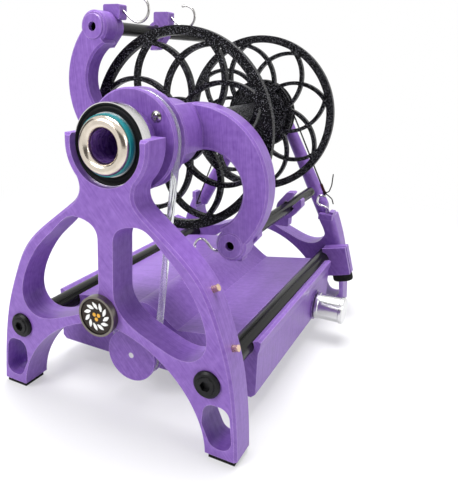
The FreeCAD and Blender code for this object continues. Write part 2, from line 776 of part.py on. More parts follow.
def rod_bolts(y, inward):
    """Pair of flat-headed bolts: a chamfered rim round a raised crown with a hexagon socket."""
    head_r = mm("bolt_head_d") / 2
    height = mm("bolt_head_height")
    rim = mm("bolt_rim_height")
    crown_r = mm("bolt_crown_d") / 2
    shank_r = mm("base_rod_bore") / 2 - SEAT / 2
    bolts = []
    for side in (-1, 1):
        profile = [xz(0, mm("bolt_length")), xz(shank_r, mm("bolt_length")), xz(shank_r, 0), xz(head_r, 0),
                   xz(head_r, -rim * 0.55), xz(head_r - rim * 0.45, -rim), xz(crown_r + 0.3, -rim),
                   xz(crown_r, -height), xz(0, -height)]
        bolt = Part.Face(Part.makePolygon(profile + [profile[0]])).revolve(Vector(), Vector(0, 0, 1), 360)
        bolt = bolt.cut(hexagon(mm("bolt_socket_flats"), -height - 1, height * 0.8 + 1))
        turn = ALONG_Y if inward > 0 else ALONG_BACK
        bolt.Placement = Placement(Vector(side * mm("rod_half_gap"), y, mm("rod_height")), turn)
        bolts.append(bolt)
    return Part.makeCompound(bolts)


# ---------------------------------------------------------------- base housing and drive

def housing_top():
    """Outside of the housing between the rod troughs, from right to left."""
    lip_angle = math.radians(30)
    lip_z = mm("rod_height") + TROUGH_R * math.sin(lip_angle)
    edge_x = mm("rod_half_gap") - TROUGH_R * math.cos(lip_angle)
    valley = xz(mm("hump_valley_x"), lip_z + 0.3 - mm("shelf_dip") - 3.2)
    crown_z = valley.z + mm("hump_rise") + 3.0
    crown = mm("hump_crown_x")
    steep = (crown + mm("hump_valley_x")) / 2 + 1.2
    return [xz(edge_x, lip_z), valley, xz(steep, (valley.z + crown_z) / 2 + 0.6), xz(crown + 5, crown_z - 0.5),
            xz(crown - 6, crown_z + 0.1), xz(-edge_x, lip_z)]


def housing_outline():
    """Housing section, seen from the front."""
    top = housing_top()
    rod = Vector(mm("rod_half_gap"), 0, mm("rod_height"))
    lip_angle = math.radians(30)
    lip = Vector(math.cos(lip_angle), 0, math.sin(lip_angle))
    outer_x = WALL_OUTER_X
    bottom = mm("housing_bottom")
    slope_mid = xz((top[4].x + top[5].x) / 2, top[4].z - 1.9)
    edges = [line(top[0], top[1]), smooth(top[1:5]), smooth([top[4], slope_mid, top[5]])]
    trough_in = xz(rod.x - TROUGH_R * lip.x, rod.z + TROUGH_R * lip.z)
    trough_low = xz(rod.x, rod.z - TROUGH_R)
    trough_out = xz(rod.x + TROUGH_R * lip.x, rod.z + TROUGH_R * lip.z)
    wall_top = [trough_out, xz(outer_x - 0.6, trough_out.z + 1.2), xz(outer_x + 1.4, trough_out.z + 0.6),
                xz(outer_x + 1.2, trough_out.z - 2.5), xz(outer_x, trough_out.z - 7.0), xz(outer_x, bottom + 2.5),
                xz(outer_x - 2.5, bottom)]
    right = [Part.Arc(trough_in, trough_low, trough_out).toShape()]
    right += [line(a, b) for a, b in zip(wall_top, wall_top[1:])]
    left = [mirror_x(edge) for edge in right]
    return edges + right + left + [line(wall_top[-1], xz(-wall_top[-1].x, bottom))]


def housing_hollow():
    """Hollow inside the housing, clear of the rod troughs."""
    wall = mm("housing_wall")
    top = [p - Vector(0, 0, wall * 1.12) for p in housing_top()]
    web_x = mm("rod_half_gap") - TROUGH_R - wall
    inner_x = WALL_OUTER_X - wall
    under = mm("rod_height") - TROUGH_R - wall
    slope = (top[0].z - top[1].z) / (top[0].x - top[1].x)
    right_edge = xz(web_x, top[0].z - (top[0].x - web_x) * slope)
    left_edge = xz(-web_x, top[5].z + 0.4)
    mid = xz((top[4].x + left_edge.x) / 2, top[4].z - 1.9)
    low = mm("housing_bottom") - 1
    edges = [line(right_edge, top[1]), smooth(top[1:5]), smooth([top[4], mid, left_edge]),
             line(left_edge, xz(-web_x, under)), line(xz(-web_x, under), xz(-inner_x, under)),
             line(xz(-inner_x, under), xz(-inner_x, low)), line(xz(-inner_x, low), xz(inner_x, low)),
             line(xz(inner_x, low), xz(inner_x, under)), line(xz(inner_x, under), xz(web_x, under)),
             line(xz(web_x, under), right_edge)]
    return edges


def plate_posts():
    """Places of the posts that take the bottom plate's screws."""
    x = mm("rod_half_gap") - 8.0
    inset = 10.0
    return [(sx * x, y) for sx in (-1, 1) for y in (HOUSING_FRONT + inset, HOUSING_BACK - inset)]


def housing_shell():
    wall = mm("housing_wall")
    solid = closed_plate(housing_outline(), HOUSING_LENGTH, HOUSING_FRONT)
    solid = solid.cut(closed_plate(housing_hollow(), HOUSING_LENGTH - 2 * wall, HOUSING_FRONT + wall))
    plate_top = mm("housing_bottom") + mm("bottom_plate_thickness")
    under = mm("rod_height") - TROUGH_R - wall
    for x, y in plate_posts():
        post = Part.makeCylinder(3.6, under + 1.0 - plate_top - SEAT, Vector(x, y, plate_top + SEAT))
        post = post.cut(Part.makeCylinder(1.3, 9.0, Vector(x, y, plate_top)))
        solid = solid.fuse(post)
    solid = solid.cut(drum(0, mm("motor_height"), HOUSING_FRONT - 1, 4.2, wall + 2))
    for side in (-1, 1):
        solid = solid.cut(drum(side * 8.0, mm("motor_height"), HOUSING_FRONT - 1, 1.6, wall + 2))
    knob_hole = Part.makeCylinder(mm("pot_shaft_d") / 2 + 0.5, wall + 4,
                                  Vector(WALL_OUTER_X - wall - 2, mm("knob_y"), mm("knob_z")), Vector(1, 0, 0))
    solid = solid.cut(knob_hole)
    solid = solid.cut(drum(INLET_X, INLET_Z, HOUSING_BACK - wall - 2, mm("inlet_d") / 2 + SEAT, wall + 4))
    return solid.removeSplitter()


INLET_X = 38.0
INLET_Z = 23.0


def bottom_plate():
    wall = mm("housing_wall")
    inner_x = WALL_OUTER_X - wall - 0.2
    y0 = HOUSING_FRONT + wall + 0.2
    y1 = HOUSING_BACK - wall - 0.2
    bottom = mm("housing_bottom")
    solid = box(-inner_x, inner_x, y0, y1, bottom, bottom + mm("bottom_plate_thickness"))
    for x, y in plate_posts():
        solid = solid.cut(Part.makeCylinder(1.7, 10, Vector(x, y, bottom - 1)))
    return solid


def plate_screws():
    screws = []
    bottom = mm("housing_bottom")
    for x, y in plate_posts():
        head = Part.makeCylinder(2.8, 1.6, Vector(x, y, bottom - 1.6))
        shank = Part.makeCylinder(1.2, 8.0, Vector(x, y, bottom))
        screws.append(head.fuse(shank).removeSplitter())
    return Part.makeCompound(screws)


def grooved_profile(width, band_d, bore_r):
    """Corners of a band pulley: two flanges and a V groove, as (radius, height) expressions."""
    flange = "%s / 2 + sizes.pulley_flange" % band_d
    floor = "%s / 2 - sizes.band_d / 2 - sizes.band_gap" % band_d
    low = "(%s - sizes.groove_floor) / 2" % width
    high = "(%s + sizes.groove_floor) / 2" % width
    return [(bore_r, "0"), (flange, "0"), (flange, "%s - sizes.groove_slope" % low), (floor, low), (floor, high),
            (flange, "%s + sizes.groove_slope" % high), (flange, width), (bore_r, width)]


def band_loop():
    """Closed round band over the two pulleys."""
    top_r = mm("flyer_band_d") / 2
    low_r = mm("motor_band_d") / 2
    y = mm("pulley_front") + mm("pulley_width") / 2
    drop = AXIS_Z - mm("motor_height")
    tilt = math.asin((top_r - low_r) / drop)
    top = Vector(0, y, AXIS_Z)
    low = Vector(0, y, mm("motor_height"))
    right = Vector(math.cos(tilt), 0, -math.sin(tilt))
    left = Vector(-right.x, 0, right.z)
    up = Vector(0, 0, 1)
    edges = [Part.Arc(top + right * top_r, top + up * top_r, top + left * top_r).toShape(),
             line(top + left * top_r, low + left * low_r),
             Part.Arc(low + left * low_r, low - up * low_r, low + right * low_r).toShape(),
             line(low + right * low_r, top + right * top_r)]
    path = Part.Wire(edges)
    start = top + right * top_r
    along = edges[0].tangentAt(edges[0].FirstParameter)
    section = Part.Wire([Part.makeCircle(mm("band_d") / 2, start, along)])
    return path.makePipeShell([section], True, False)


def make_housing():
    shape_node("housing_shell", housing_shell())
    shape_node("housing_bottom_plate", bottom_plate())
    shape_node("bottom_plate_screws", plate_screws())
    wall_back = HOUSING_FRONT + mm("housing_wall")
    can = [("0", "0"), ("sizes.motor_d / 2", "0"), ("sizes.motor_d / 2", "sizes.motor_length - 3"),
           ("sizes.motor_d / 2 - 3", "sizes.motor_length"), ("0", "sizes.motor_length")]
    turned_node("motor", can, at(0, wall_back + SEAT, mm("motor_height"), ALONG_Y))
    motor_pulley_front = mm("pulley_front") + (mm("pulley_width") - mm("motor_pulley_width")) / 2
    rod_node("motor_shaft", "sizes.motor_shaft_d", "%g" % (wall_back - SEAT - motor_pulley_front),
             at(0, motor_pulley_front, mm("motor_height"), ALONG_Y))
    profile = grooved_profile("sizes.motor_pulley_width", "sizes.motor_band_d", "(sizes.motor_shaft_d / 2)")
    turned_node("motor_pulley", profile, at(0, motor_pulley_front, mm("motor_height"), ALONG_Y))
    shape_node("drive_band", band_loop())
    board_z = mm("housing_bottom") + mm("bottom_plate_thickness") + 3.0
    board = box(-48, 6, HOUSING_BACK - 66, HOUSING_BACK - 14, board_z, board_z + 1.6)
    parts = [box(-40, -28, HOUSING_BACK - 60, HOUSING_BACK - 48, board_z + 1.6, board_z + 10),
             box(-20, -10, HOUSING_BACK - 58, HOUSING_BACK - 40, board_z + 1.6, board_z + 6),
             Part.makeCylinder(4, 11, Vector(-4, HOUSING_BACK - 26, board_z + 1.6)),
             box(-44, -32, HOUSING_BACK - 30, HOUSING_BACK - 20, board_z + 1.6, board_z + 9)]
    standoffs = [Part.makeCylinder(2.4, 3.0, Vector(x, y, board_z - 3.0)) for x in (-44, 2)
                 for y in (HOUSING_BACK - 62, HOUSING_BACK - 18)]
    shape_node("control_board", board.fuse(parts + standoffs).removeSplitter())
    # speed control: potentiometer inside the right wall, shaft through it, knob outside
    inner_x = WALL_OUTER_X - mm("housing_wall")
    rod_node("potentiometer", "sizes.pot_d", "sizes.pot_depth",
             at(inner_x - mm("pot_depth"), mm("knob_y"), mm("knob_z"), ALONG_X))
    tube_node("dial_ring", "sizes.dial_ring_d", "sizes.dial_ring_bore", "sizes.dial_ring_thickness",
              at(WALL_OUTER_X, mm("knob_y"), mm("knob_z"), ALONG_X))
    shaft_start = inner_x + SEAT
    rod_node("control_shaft", "sizes.pot_shaft_d", "%g" % (WALL_OUTER_X + mm("knob_stand_off") - shaft_start),
             at(shaft_start, mm("knob_y"), mm("knob_z"), ALONG_X))
    rim = "sizes.knob_d / 2"
    waist = "sizes.knob_d / 2 - sizes.knob_waist_depth"
    knob = [("0", "0"), ("%s - 0.6" % rim, "0"), (rim, "0.6"), (rim, "sizes.knob_band"),
            (waist, "sizes.knob_band + sizes.knob_waist_depth"),
            (waist, "sizes.knob_length - sizes.knob_band - sizes.knob_waist_depth"),
            (rim, "sizes.knob_length - sizes.knob_band"), (rim, "sizes.knob_length - 0.8"),
            ("%s - 0.8" % rim, "sizes.knob_length"), ("0", "sizes.knob_length")]
    turned_node("speed_knob", knob, at(WALL_OUTER_X + mm("knob_stand_off"), mm("knob_y"), mm("knob_z"), ALONG_X))
    inlet = [("2.6", "0"), ("sizes.inlet_flange_d / 2", "0"), ("sizes.inlet_flange_d / 2", "1.6"),
             ("sizes.inlet_d / 2", "1.6"), ("sizes.inlet_d / 2", "12"), ("0", "12"), ("0", "9"), ("2.6", "9")]
    turned_node("power_inlet", inlet, at(INLET_X, HOUSING_BACK + 1.6, INLET_Z, ALONG_BACK))


# ---------------------------------------------------------------- flyer

def edged_disc(centre, radius, depth, chamfer):
    """Flat disc with both rims chamfered, or flared outwards where the chamfer is negative."""
    profile = [(0, 0), (radius - chamfer, 0), (radius, abs(chamfer)), (radius, depth - abs(chamfer)),
               (radius - chamfer, depth), (0, depth)]
    points = [Vector(r, y, 0) for r, y in profile]
    disc = Part.Face(Part.makePolygon(points + [points[0]])).revolve(Vector(), Vector(0, 1, 0), 360)
    disc.translate(centre)
    return disc


def boss_place():
    """Middle of the right arm's boss, measured from the axis."""
    turn = math.radians(mm("boss_angle"))
    return xz(mm("boss_circle_r") * math.cos(turn), mm("boss_circle_r") * math.sin(turn))


def arm_plate(depth, chamfer):
    """S-shaped plate: a round hub, two C-shaped arms and a boss at the end of each."""
    boss = boss_place()
    along = boss / boss.Length
    square = Vector(-along.z, 0, along.x)
    outer_centre = along * (mm("boss_circle_r") - mm("arm_outer_r") + mm("arm_overlap"))
    inner_centre = along * mm("arm_hollow_reach") + square * mm("arm_hollow_offset")
    arm = edged_disc(outer_centre, mm("arm_outer_r"), depth, chamfer)
    arm = arm.cut(edged_disc(inner_centre, mm("arm_inner_r"), depth, -chamfer))
    reach = along * (3 * mm("boss_circle_r"))
    beside = square * (3 * mm("boss_circle_r"))
    half = Part.Face(Part.makePolygon([reach * -1, reach, reach + beside, reach * -1 + beside, reach * -1]))
    arm = arm.common(half.extrude(Vector(0, depth, 0)))
    arm = arm.fuse(edged_disc(boss, mm("boss_d") / 2, depth, chamfer))
    other = arm.copy()
    other.rotate(Vector(0, 0, 0), Vector(0, 1, 0), 180)
    return arm.fuse([other, edged_disc(Vector(), mm("hub_r"), depth, chamfer)])


def boss_face(x, z):
    """Raised round face round the rod's hole, on the front of the arm."""
    face_r = mm("boss_face_d") / 2
    rise = mm("boss_face_rise")
    front = mm("arm_front")
    return Part.makeCone(face_r, face_r + rise * 0.5, rise, Vector(x, front, z), Vector(0, 1, 0))


def flyer_arms():
    """Arms with the hub that reaches forward to the pulley."""
    boss = boss_place()
    front = mm("arm_front") + mm("boss_face_rise")
    arms = arm_plate(ARM_BACK - front, mm("arm_chamfer"))
    arms.translate(Vector(0, front, AXIS_Z))
    hub_r = mm("flyer_band_d") / 2 + mm("pulley_flange") - mm("band_gap")
    hub_depth = front + 2 * mm("arm_chamfer") - PULLEY_BACK
    hub = arm_plate(hub_depth, 0).common(drum(0, 0, 0, hub_r, hub_depth))
    hub.translate(Vector(0, PULLEY_BACK, AXIS_Z))
    faces = [boss_face(boss.x * side, AXIS_Z + boss.z * side) for side in (1, -1)]
    solid = arms.fuse([hub] + faces).removeSplitter()
    for side in (1, -1):
        x = boss.x * side
        z = AXIS_Z + boss.z * side
        through = mm("arm_thickness") + 2
        solid = solid.cut(drum(x, z, mm("arm_front") - 1, mm("flyer_rod_bore") / 2, through))
        solid = solid.cut(drum(x, z, ROD_START, mm("flyer_rod_d") / 2 + SEAT / 2, through))
    sleeve_r = mm("orifice_d") / 2 + mm("sleeve_wall")
    solid = solid.cut(drum(0, AXIS_Z, PULLEY_BACK - 1, sleeve_r + SEAT / 2, TUBE_END - PULLEY_BACK + 1))
    solid = solid.cut(drum(0, AXIS_Z, PULLEY_BACK, mm("shaft_d") / 2 + SEAT / 2, ARM_BACK - PULLEY_BACK + 1))
    solid = solid.cut(exit_hole(mm("exit_d") / 2 + 0.6))
    screw_r = mm("pulley_screw_shank_d") / 2 + SEAT
    for turn in SCREW_ANGLES:
        x, z = screw_centre(turn)
        solid = solid.cut(drum(x, z, PULLEY_BACK - 1, screw_r, mm("pulley_screw_bite") + 2))
    return solid


TUBE_END = mm("arm_front") - mm("shaft_step")
SCREW_ANGLES = (40.3, 220.3)


def exit_hole(radius):
    """Side hole through which the yarn leaves the orifice tube."""
    y = (PULLEY_BACK + mm("arm_front")) / 2
    return Part.makeCylinder(radius, 40, Vector(0, y, AXIS_Z), Vector(0, 0, -1))


def screw_centre(turn):
    r = mm("pulley_screw_circle_r")
    return r * math.cos(math.radians(turn)), AXIS_Z + r * math.sin(math.radians(turn))


def pulley_screws():
    """Round-headed screws with a cross recess that hold the pulley on the flyer's hub."""
    screws = []
    head_r = mm("pulley_screw_d") / 2
    head = mm("pulley_screw_head")
    shank_length = mm("pulley_width") + mm("pulley_screw_bite")
    for turn in SCREW_ANGLES:
        x, z = screw_centre(turn)
        crown = drum(x, z, mm("pulley_front") - head, head_r, head)
        dome_r = head_r * 1.5
        crown = crown.common(Part.makeSphere(dome_r, Vector(x, mm("pulley_front") - head + dome_r, z)))
        shank = drum(x, z, mm("pulley_front"), mm("pulley_screw_shank_d") / 2, shank_length)
        screw = crown.fuse(shank)
        half = head_r * 0.62
        slot = head_r * 0.14
        front = mm("pulley_front") - head - 1
        for across, up in ((half, slot), (slot, half)):
            screw = screw.cut(box(x - across, x + across, front, front + 1 + head * 0.6, z - up, z + up))
        screws.append(screw.removeSplitter())
    return Part.makeCompound(screws)


def flyer_pulley():
    """Band pulley with a nose that runs through the front bearing."""
    bore = mm("orifice_d") / 2 + mm("sleeve_wall") + SEAT / 2
    front = mm("pulley_front")
    width = mm("pulley_width")
    middle = front + width / 2
    flange_r = mm("flyer_band_d") / 2 + mm("pulley_flange")
    floor_r = mm("flyer_band_d") / 2 - mm("band_d") / 2 - mm("band_gap")
    floor_half = mm("groove_floor") / 2
    mouth_half = floor_half + mm("groove_slope")
    rim = mm("pulley_rim_chamfer")
    nose_r = mm("front_bearing_bore") / 2 - SEAT / 2
    shoulder_r = nose_r + mm("front_race_wall") * 0.8
    nose_end = BEARING_BACK + SEAT
    nose = [(bore, BEARING_Y), (nose_r, BEARING_Y), (nose_r, nose_end), (shoulder_r, nose_end), (shoulder_r, front)]
    groove = [(flange_r - rim, front), (flange_r, front + rim), (flange_r, middle - mouth_half),
              (floor_r, middle - floor_half), (floor_r, middle + floor_half), (flange_r, middle + mouth_half),
              (flange_r, front + width - rim), (flange_r - rim, front + width), (bore, front + width)]
    points = [Vector(r, y, 0) for r, y in nose + groove]
    face = Part.Face(Part.makePolygon(points + [points[0]]))
    solid = face.revolve(Vector(0, 0, 0), Vector(0, 1, 0), 360)
    solid.translate(Vector(0, 0, AXIS_Z))
    for turn in SCREW_ANGLES:
        x, z = screw_centre(turn)
        solid = solid.cut(drum(x, z, front - 1, mm("pulley_screw_shank_d") / 2 + SEAT, width + 2))
    return solid


def orifice_tube():
    outer = mm("orifice_d") / 2 + mm("sleeve_wall")
    solid = drum(0, AXIS_Z, COLLAR_FRONT, outer, TUBE_END - SEAT - COLLAR_FRONT)
    bore_end = TUBE_END - mm("orifice_floor")
    solid = solid.cut(drum(0, AXIS_Z, COLLAR_FRONT - 1, mm("orifice_d") / 2, bore_end - COLLAR_FRONT + 1))
    return solid.cut(exit_hole(mm("exit_d") / 2))


COLLAR_FRONT = mm("eyelet_thickness") - mm("eyelet_stand_out")


def orifice_eyelet():
    """Round-fronted metal ring that the fibre runs over, flat at its back."""
    inner = mm("orifice_d") / 2
    outer = mm("eyelet_d") / 2
    thick = mm("eyelet_thickness")
    side_r = (outer - inner) * 0.5
    flat = thick - side_r * 0.95
    crown = Vector(inner + side_r, thick, 0)
    turn = math.radians(45)
    lift = thick - flat
    in_mid = Vector(inner + side_r * (1 - math.cos(turn)), flat + lift * math.sin(turn), 0)
    out_mid = Vector(outer - side_r * (1 - math.cos(turn)), flat + lift * math.sin(turn), 0)
    low_in = Vector(inner, 0, 0)
    low_out = Vector(outer, 0, 0)
    side_in = Vector(inner, flat, 0)
    side_out = Vector(outer, flat, 0)
    edges = [line(low_in, side_in), Part.Arc(side_in, in_mid, crown).toShape(),
             Part.Arc(crown, out_mid, side_out).toShape(), line(side_out, low_out), line(low_out, low_in)]
    return Part.Face(Part.Wire(edges)).revolve(Vector(), Vector(0, 1, 0), 360)


def slider(side):
    """Snap-on clip with a block for the hook; the block is above the left rod and below the right one."""
    length = mm("slider_length")
    half = mm("slider_width") / 2
    reach = mm("slider_reach")
    rod_r = mm("flyer_rod_d") / 2 + mm("running_gap")
    # the clip lies along +X here: round behind the rod, two prongs that reach past it, bevelled tips
    bevel = half * 0.45
    upper = [xz(0, half), xz(reach - bevel, half), xz(reach, half - bevel)]
    clip = drum(0, 0, 0, half, length).fuse(plate(sealed(upper + flipped(upper)), length))
    # square seat with its flats on the rod, then a narrower mouth that widens outwards
    seat = box(-rod_r, rod_r, -1, length + 1, -rod_r, rod_r)
    mouth = mm("slider_mouth") / 2
    upper = [xz(0, mouth), xz(rod_r + mm("slider_lip"), mouth), xz(reach + 1, mouth * 1.3)]
    clip = clip.cut(seat.fuse(plate(sealed(upper + flipped(upper)), length + 2, -1)))
    clip.rotate(Vector(0, 0, 0), Vector(0, 1, 0), mm("slider_mouth_angle"))
    left = -mm("slider_block_left")
    right = mm("slider_block_right")
    low = rod_r + mm("slider_block_lift")
    high = mm("slider_block_rise")
    corners = [xz(left, low), xz(right, low), xz(right, high), xz(left, high)]
    solid = clip.fuse(plate(rounded_polygon(corners, mm("slider_block_round")), length))
    return turned_over(solid.cut(hook_tube(mm("hook_wire_d") / 2 + SEAT)), side)


def flipped(points):
    """The same points below the X axis, in the other order."""
    return [xz(p.x, -p.z) for p in reversed(points)]


def sealed(corners):
    """Straight edges of a closed outline."""
    return [line(a, b) for a, b in zip(corners, corners[1:] + corners[:1])]


def turned_over(shape, side):
    """The right rod carries the left rod's pieces turned half round."""
    if side > 0:
        shape.rotate(Vector(0, 0, 0), Vector(0, 1, 0), 180)
    return shape


def hook_tube(wire_r):
    """Wire that leaves the block straight and runs tangent into an open loop."""
    y = mm("slider_length") / 2
    loop_r = mm("hook_loop_r")
    root_x = mm("slider_block_right") - mm("hook_root_depth")
    root = Vector(root_x, y, mm("slider_block_rise") - mm("hook_root_drop"))
    centre = Vector(mm("hook_loop_reach"), y, mm("hook_loop_rise"))
    to_root = root - centre
    reach = math.acos(loop_r / to_root.Length)
    start_angle = math.atan2(to_root.z, to_root.x) + reach
    end_angle = math.radians(360 + mm("hook_end_angle"))

    def on_loop(angle):
        return centre + Vector(loop_r * math.cos(angle), 0, loop_r * math.sin(angle))

    middle = (start_angle + end_angle) / 2
    start = on_loop(start_angle)
    path = Part.Wire([line(root, start), Part.Arc(start, on_loop(middle), on_loop(end_angle)).toShape()])
    section = Part.Wire([Part.makeCircle(wire_r, root, start - root)])
    return path.makePipeShell([section], True, False)


def hook_wire(side):
    """Open wire hook that carries the yarn, rooted in the slider's block."""
    return turned_over(hook_tube(mm("hook_wire_d") / 2), side)


def make_flyer():
    shape_node("flyer_pulley", flyer_pulley())
    shape_node("pulley_screws", pulley_screws())
    shape_node("flyer_arms", flyer_arms())
    shape_node("orifice_tube", orifice_tube())
    shape_node("orifice_eyelet", orifice_eyelet(), at(0, COLLAR_FRONT, AXIS_Z, Rotation(Vector(1, 0, 0), 180)))
    collar = "sizes.front_bearing_recess - sizes.eyelet_thickness + sizes.eyelet_stand_out - sizes.seat_gap"
    tube_node("orifice_collar", "sizes.front_bearing_bore + 2 * sizes.collar_lip",
              "sizes.orifice_d + 2 * sizes.sleeve_wall + sizes.seat_gap", collar, at(0, COLLAR_FRONT, AXIS_Z, ALONG_Y))
    bearing_pair("front", "sizes.front_bearing_bore", BEARING_Y)
    bearing_pair("rear", "(sizes.shaft_d + sizes.seat_gap / 2)", REAR_BEARING_Y)
    shaft_start = TUBE_END + SEAT
    shaft_end = REAR_BEARING_Y + mm("rear_bearing_width") + mm("shaft_tail")
    rod_node("flyer_shaft", "sizes.shaft_d", "%g" % (shaft_end - shaft_start), at(0, shaft_start, AXIS_Z, ALONG_Y))
    boss = boss_place()
    rod_length = "%g" % (ROD_END - ROD_START)
    near_y = ARM_BACK + mm("near_slider_gap") + mm("slider_length") / 2
    for name, side in (("right", 1), ("left", -1)):
        x = boss.x * side
        z = AXIS_Z + boss.z * side
        tube_node("flyer_rod_%s" % name, "sizes.flyer_rod_d", "sizes.flyer_rod_bore", rod_length,
                  at(x, ROD_START, z, ALONG_Y))
        for place_name, y in (("near", near_y), ("far", mm("far_slider_%s_y" % name))):
            low = y - mm("slider_length") / 2
            shape_node("slider_%s_%s" % (place_name, name), slider(side), at(x, low, z))
            shape_node("hook_%s_%s" % (place_name, name), hook_wire(side), at(x, low, z))


def bearing_pair(name, bore, y):
    """Outer race, shield and inner race of a ball bearing."""
    place = at(0, y, AXIS_Z, ALONG_Y)
    outer = "sizes.%s_bearing_d" % name
    width = "sizes.%s_bearing_width" % name
    race = "2 * sizes.%s_race_wall" % name
    tube_node("%s_bearing_outer_race" % name, outer, "%s - %s" % (outer, race), width, place)
    tube_node("%s_bearing_inner_race" % name, "%s + %s" % (bore, race), bore, width, place)
    shield_place = at(0, y + mm("shield_inset"), AXIS_Z, ALONG_Y)
    tube_node("%s_bearing_shield" % name, "%s - %s - sizes.seat_gap" % (outer, race),
              "%s + %s + 4 * sizes.seat_gap" % (bore, race), "%s - 2 * sizes.shield_inset" % width, shield_place)


# ---------------------------------------------------------------- bobbin and brake

def petal_disc(y, thickness, hub_r, first_angle):
    """Open disc: a rim, eight circles through the middle that touch the rim, and a round hub."""
    rim_r = mm("disc_r")
    inner = rim_r - mm("rim_width")
    solid = drum(0, 0, 0, rim_r, thickness).cut(drum(0, 0, -1, inner, thickness + 2))
    band = mm("petal_band")
    loop_r = (rim_r - band / 2) / 2
    hub = drum(0, 0, 0, hub_r, thickness)
    rings = []
    for i in range(8):
        turn = math.radians(first_angle + 45 * i)
        x = loop_r * math.cos(turn)
        z = loop_r * math.sin(turn)
        ring = drum(x, z, 0, loop_r + band / 2, thickness).cut(drum(x, z, -1, loop_r - band / 2, thickness + 2))
        rings.append(ring)
    solid = solid.fuse(rings + [hub])
    solid = solid.cut(drum(0, 0, -1, mm("core_d") / 2 + SEAT / 2, thickness + 2))
    solid = solid.removeSplitter()
    solid.translate(Vector(0, y, AXIS_Z))
    return solid


def make_bobbin():
    thick = mm("disc_thickness")
    shape_node("bobbin_front_disc", petal_disc(BOBBIN_FRONT, thick, mm("front_hub_r"), 0.0))
    shape_node("bobbin_rear_disc", petal_disc(REAR_DISC_FRONT, thick, mm("rear_hub_r"), 37.5))
    core_length = "%g" % (WHORL_FRONT + mm("whorl_width") - BOBBIN_FRONT)
    tube_node("bobbin_core", "sizes.core_d", "sizes.shaft_d + 2 * sizes.running_gap", core_length,
              at(0, BOBBIN_FRONT, AXIS_Z, ALONG_Y))
    edge = "sizes.whorl_edge"
    flange = "sizes.whorl_d / 2"
    floor = "sizes.whorl_d / 2 - sizes.whorl_groove_depth"
    bore = "sizes.core_d / 2 + sizes.seat_gap / 2"
    profile = [(bore, "0"), (flange, "0"), (flange, edge), (floor, "%s + 1" % edge),
               (floor, "sizes.whorl_width - %s - 1" % edge), (flange, "sizes.whorl_width - %s" % edge),
               (flange, "sizes.whorl_width"), (bore, "sizes.whorl_width")]
    turned_node("brake_whorl", profile, at(0, WHORL_FRONT, AXIS_Z, ALONG_Y))


def brake_points():
    """Corners of the brake cord: left notch, two corners over the whorl, right knot."""
    y = WHORL_FRONT + mm("whorl_width") / 2
    groove_r = mm("whorl_d") / 2 - mm("whorl_groove_depth") + mm("brake_cord_d") / 2 + mm("band_gap")
    top = mm("leg_top_height")
    left_end = Vector(-notch_middle(), REAR_FRONT - 1.4, top - mm("notch_depth") + 4.0)
    right_end = Vector(notch_middle() - mm("knot_left"), REAR_FRONT - mm("hook_front"), top + mm("knot_rise"))
    wrap = []
    for end, side in ((left_end, -1), (right_end, 1)):
        run = Vector(end.x, 0, end.z - AXIS_Z)
        reach = math.acos(groove_r / run.Length)
        angle = math.atan2(run.z, run.x)
        wrap.append(angle + side * reach)
    left_touch, right_touch = wrap
    left_touch = left_touch % (2 * math.pi)
    middle = (left_touch + right_touch) / 2
    corners = []
    for a, b in ((left_touch, middle), (middle, right_touch)):
        half = abs(a - b) / 2
        turn = (a + b) / 2
        far = groove_r / math.cos(half)
        corners.append(Vector(far * math.cos(turn), y, AXIS_Z + far * math.sin(turn)))
    notch_end = left_end + Vector(0, mm("frame_depth") / 2, -0.5)
    return [notch_end, left_end] + corners + [right_end], groove_r


def notch_middle():
    """Half gap between the middles of the two brake notches."""
    return outer_leg_x(mm("leg_top_height")) - mm("horn_width") - mm("notch_width") / 2


def make_brake():
    points, groove_r = brake_points()
    cord_r = mm("brake_cord_d") / 2
    cord = bent_tube(points, [1.6, groove_r, groove_r], cord_r)
    knot = points[-1]
    tail_up = [knot, knot + Vector(3.4, 0, 1.6), knot + Vector(5.0, 0, 7.0), knot + Vector(5.4, 0, 16.0)]
    tail_down = [knot, knot + Vector(3.0, 0, -1.6), knot + Vector(6.2, 0, -4.0), knot + Vector(7.6, 0, -8.0)]
    cord = cord.fuse([Part.makeSphere(mm("knot_d") / 2, knot), bent_tube(tail_up, [2.6, 8.0], cord_r * 0.8),
                      bent_tube(tail_down, [3.0, 4.0], cord_r * 0.8)])
    shape_node("brake_cord", cord.removeSplitter())
    shape_node("brake_hook", brake_hook(knot))


def brake_hook(knot):
    """S-shaped wire hook: its loop hangs on the cord's knot and its tail goes down behind the leg's lip."""
    wire = mm("brake_hook_wire_d") / 2
    top = mm("leg_top_height")
    tail_x = notch_middle()
    tail_y = REAR_FRONT + mm("lip_root") + wire + mm("band_gap")
    eye_z = knot.z - mm("knot_d") / 2 - wire - mm("band_gap")
    path = [Vector(tail_x, tail_y, top - 2.0), Vector(tail_x, tail_y, top + 4.6),
            Vector(knot.x + 1.6, knot.y, top + 8.0), Vector(knot.x - 5.6, knot.y, eye_z - 7.4),
            Vector(knot.x - 4.6, knot.y, eye_z), Vector(knot.x + 1.0, knot.y, eye_z)]
    return bent_tube(path, [1.8, 2.4, 2.6, 2.2], wire)


# ---------------------------------------------------------------- build, check and write

make_stand()
make_housing()
make_flyer()
make_bobbin()
make_brake()
sheet.clear("D1")
doc.recompute()

outline = FreeCAD.BoundBox()
for obj in nodes:
    outline.add(obj.Shape.optimalBoundingBox(False, False))
to_origin = Vector(-outline.Center.x, -outline.Center.y, 0)
for obj in nodes:
    obj.Placement = Placement(to_origin, UPRIGHT).multiply(obj.Placement)
print("whole outline %.2f x %.2f x %.2f, moved by %.3f, %.3f" % (
    outline.XLength, outline.YLength, outline.ZLength, to_origin.x, to_origin.y))

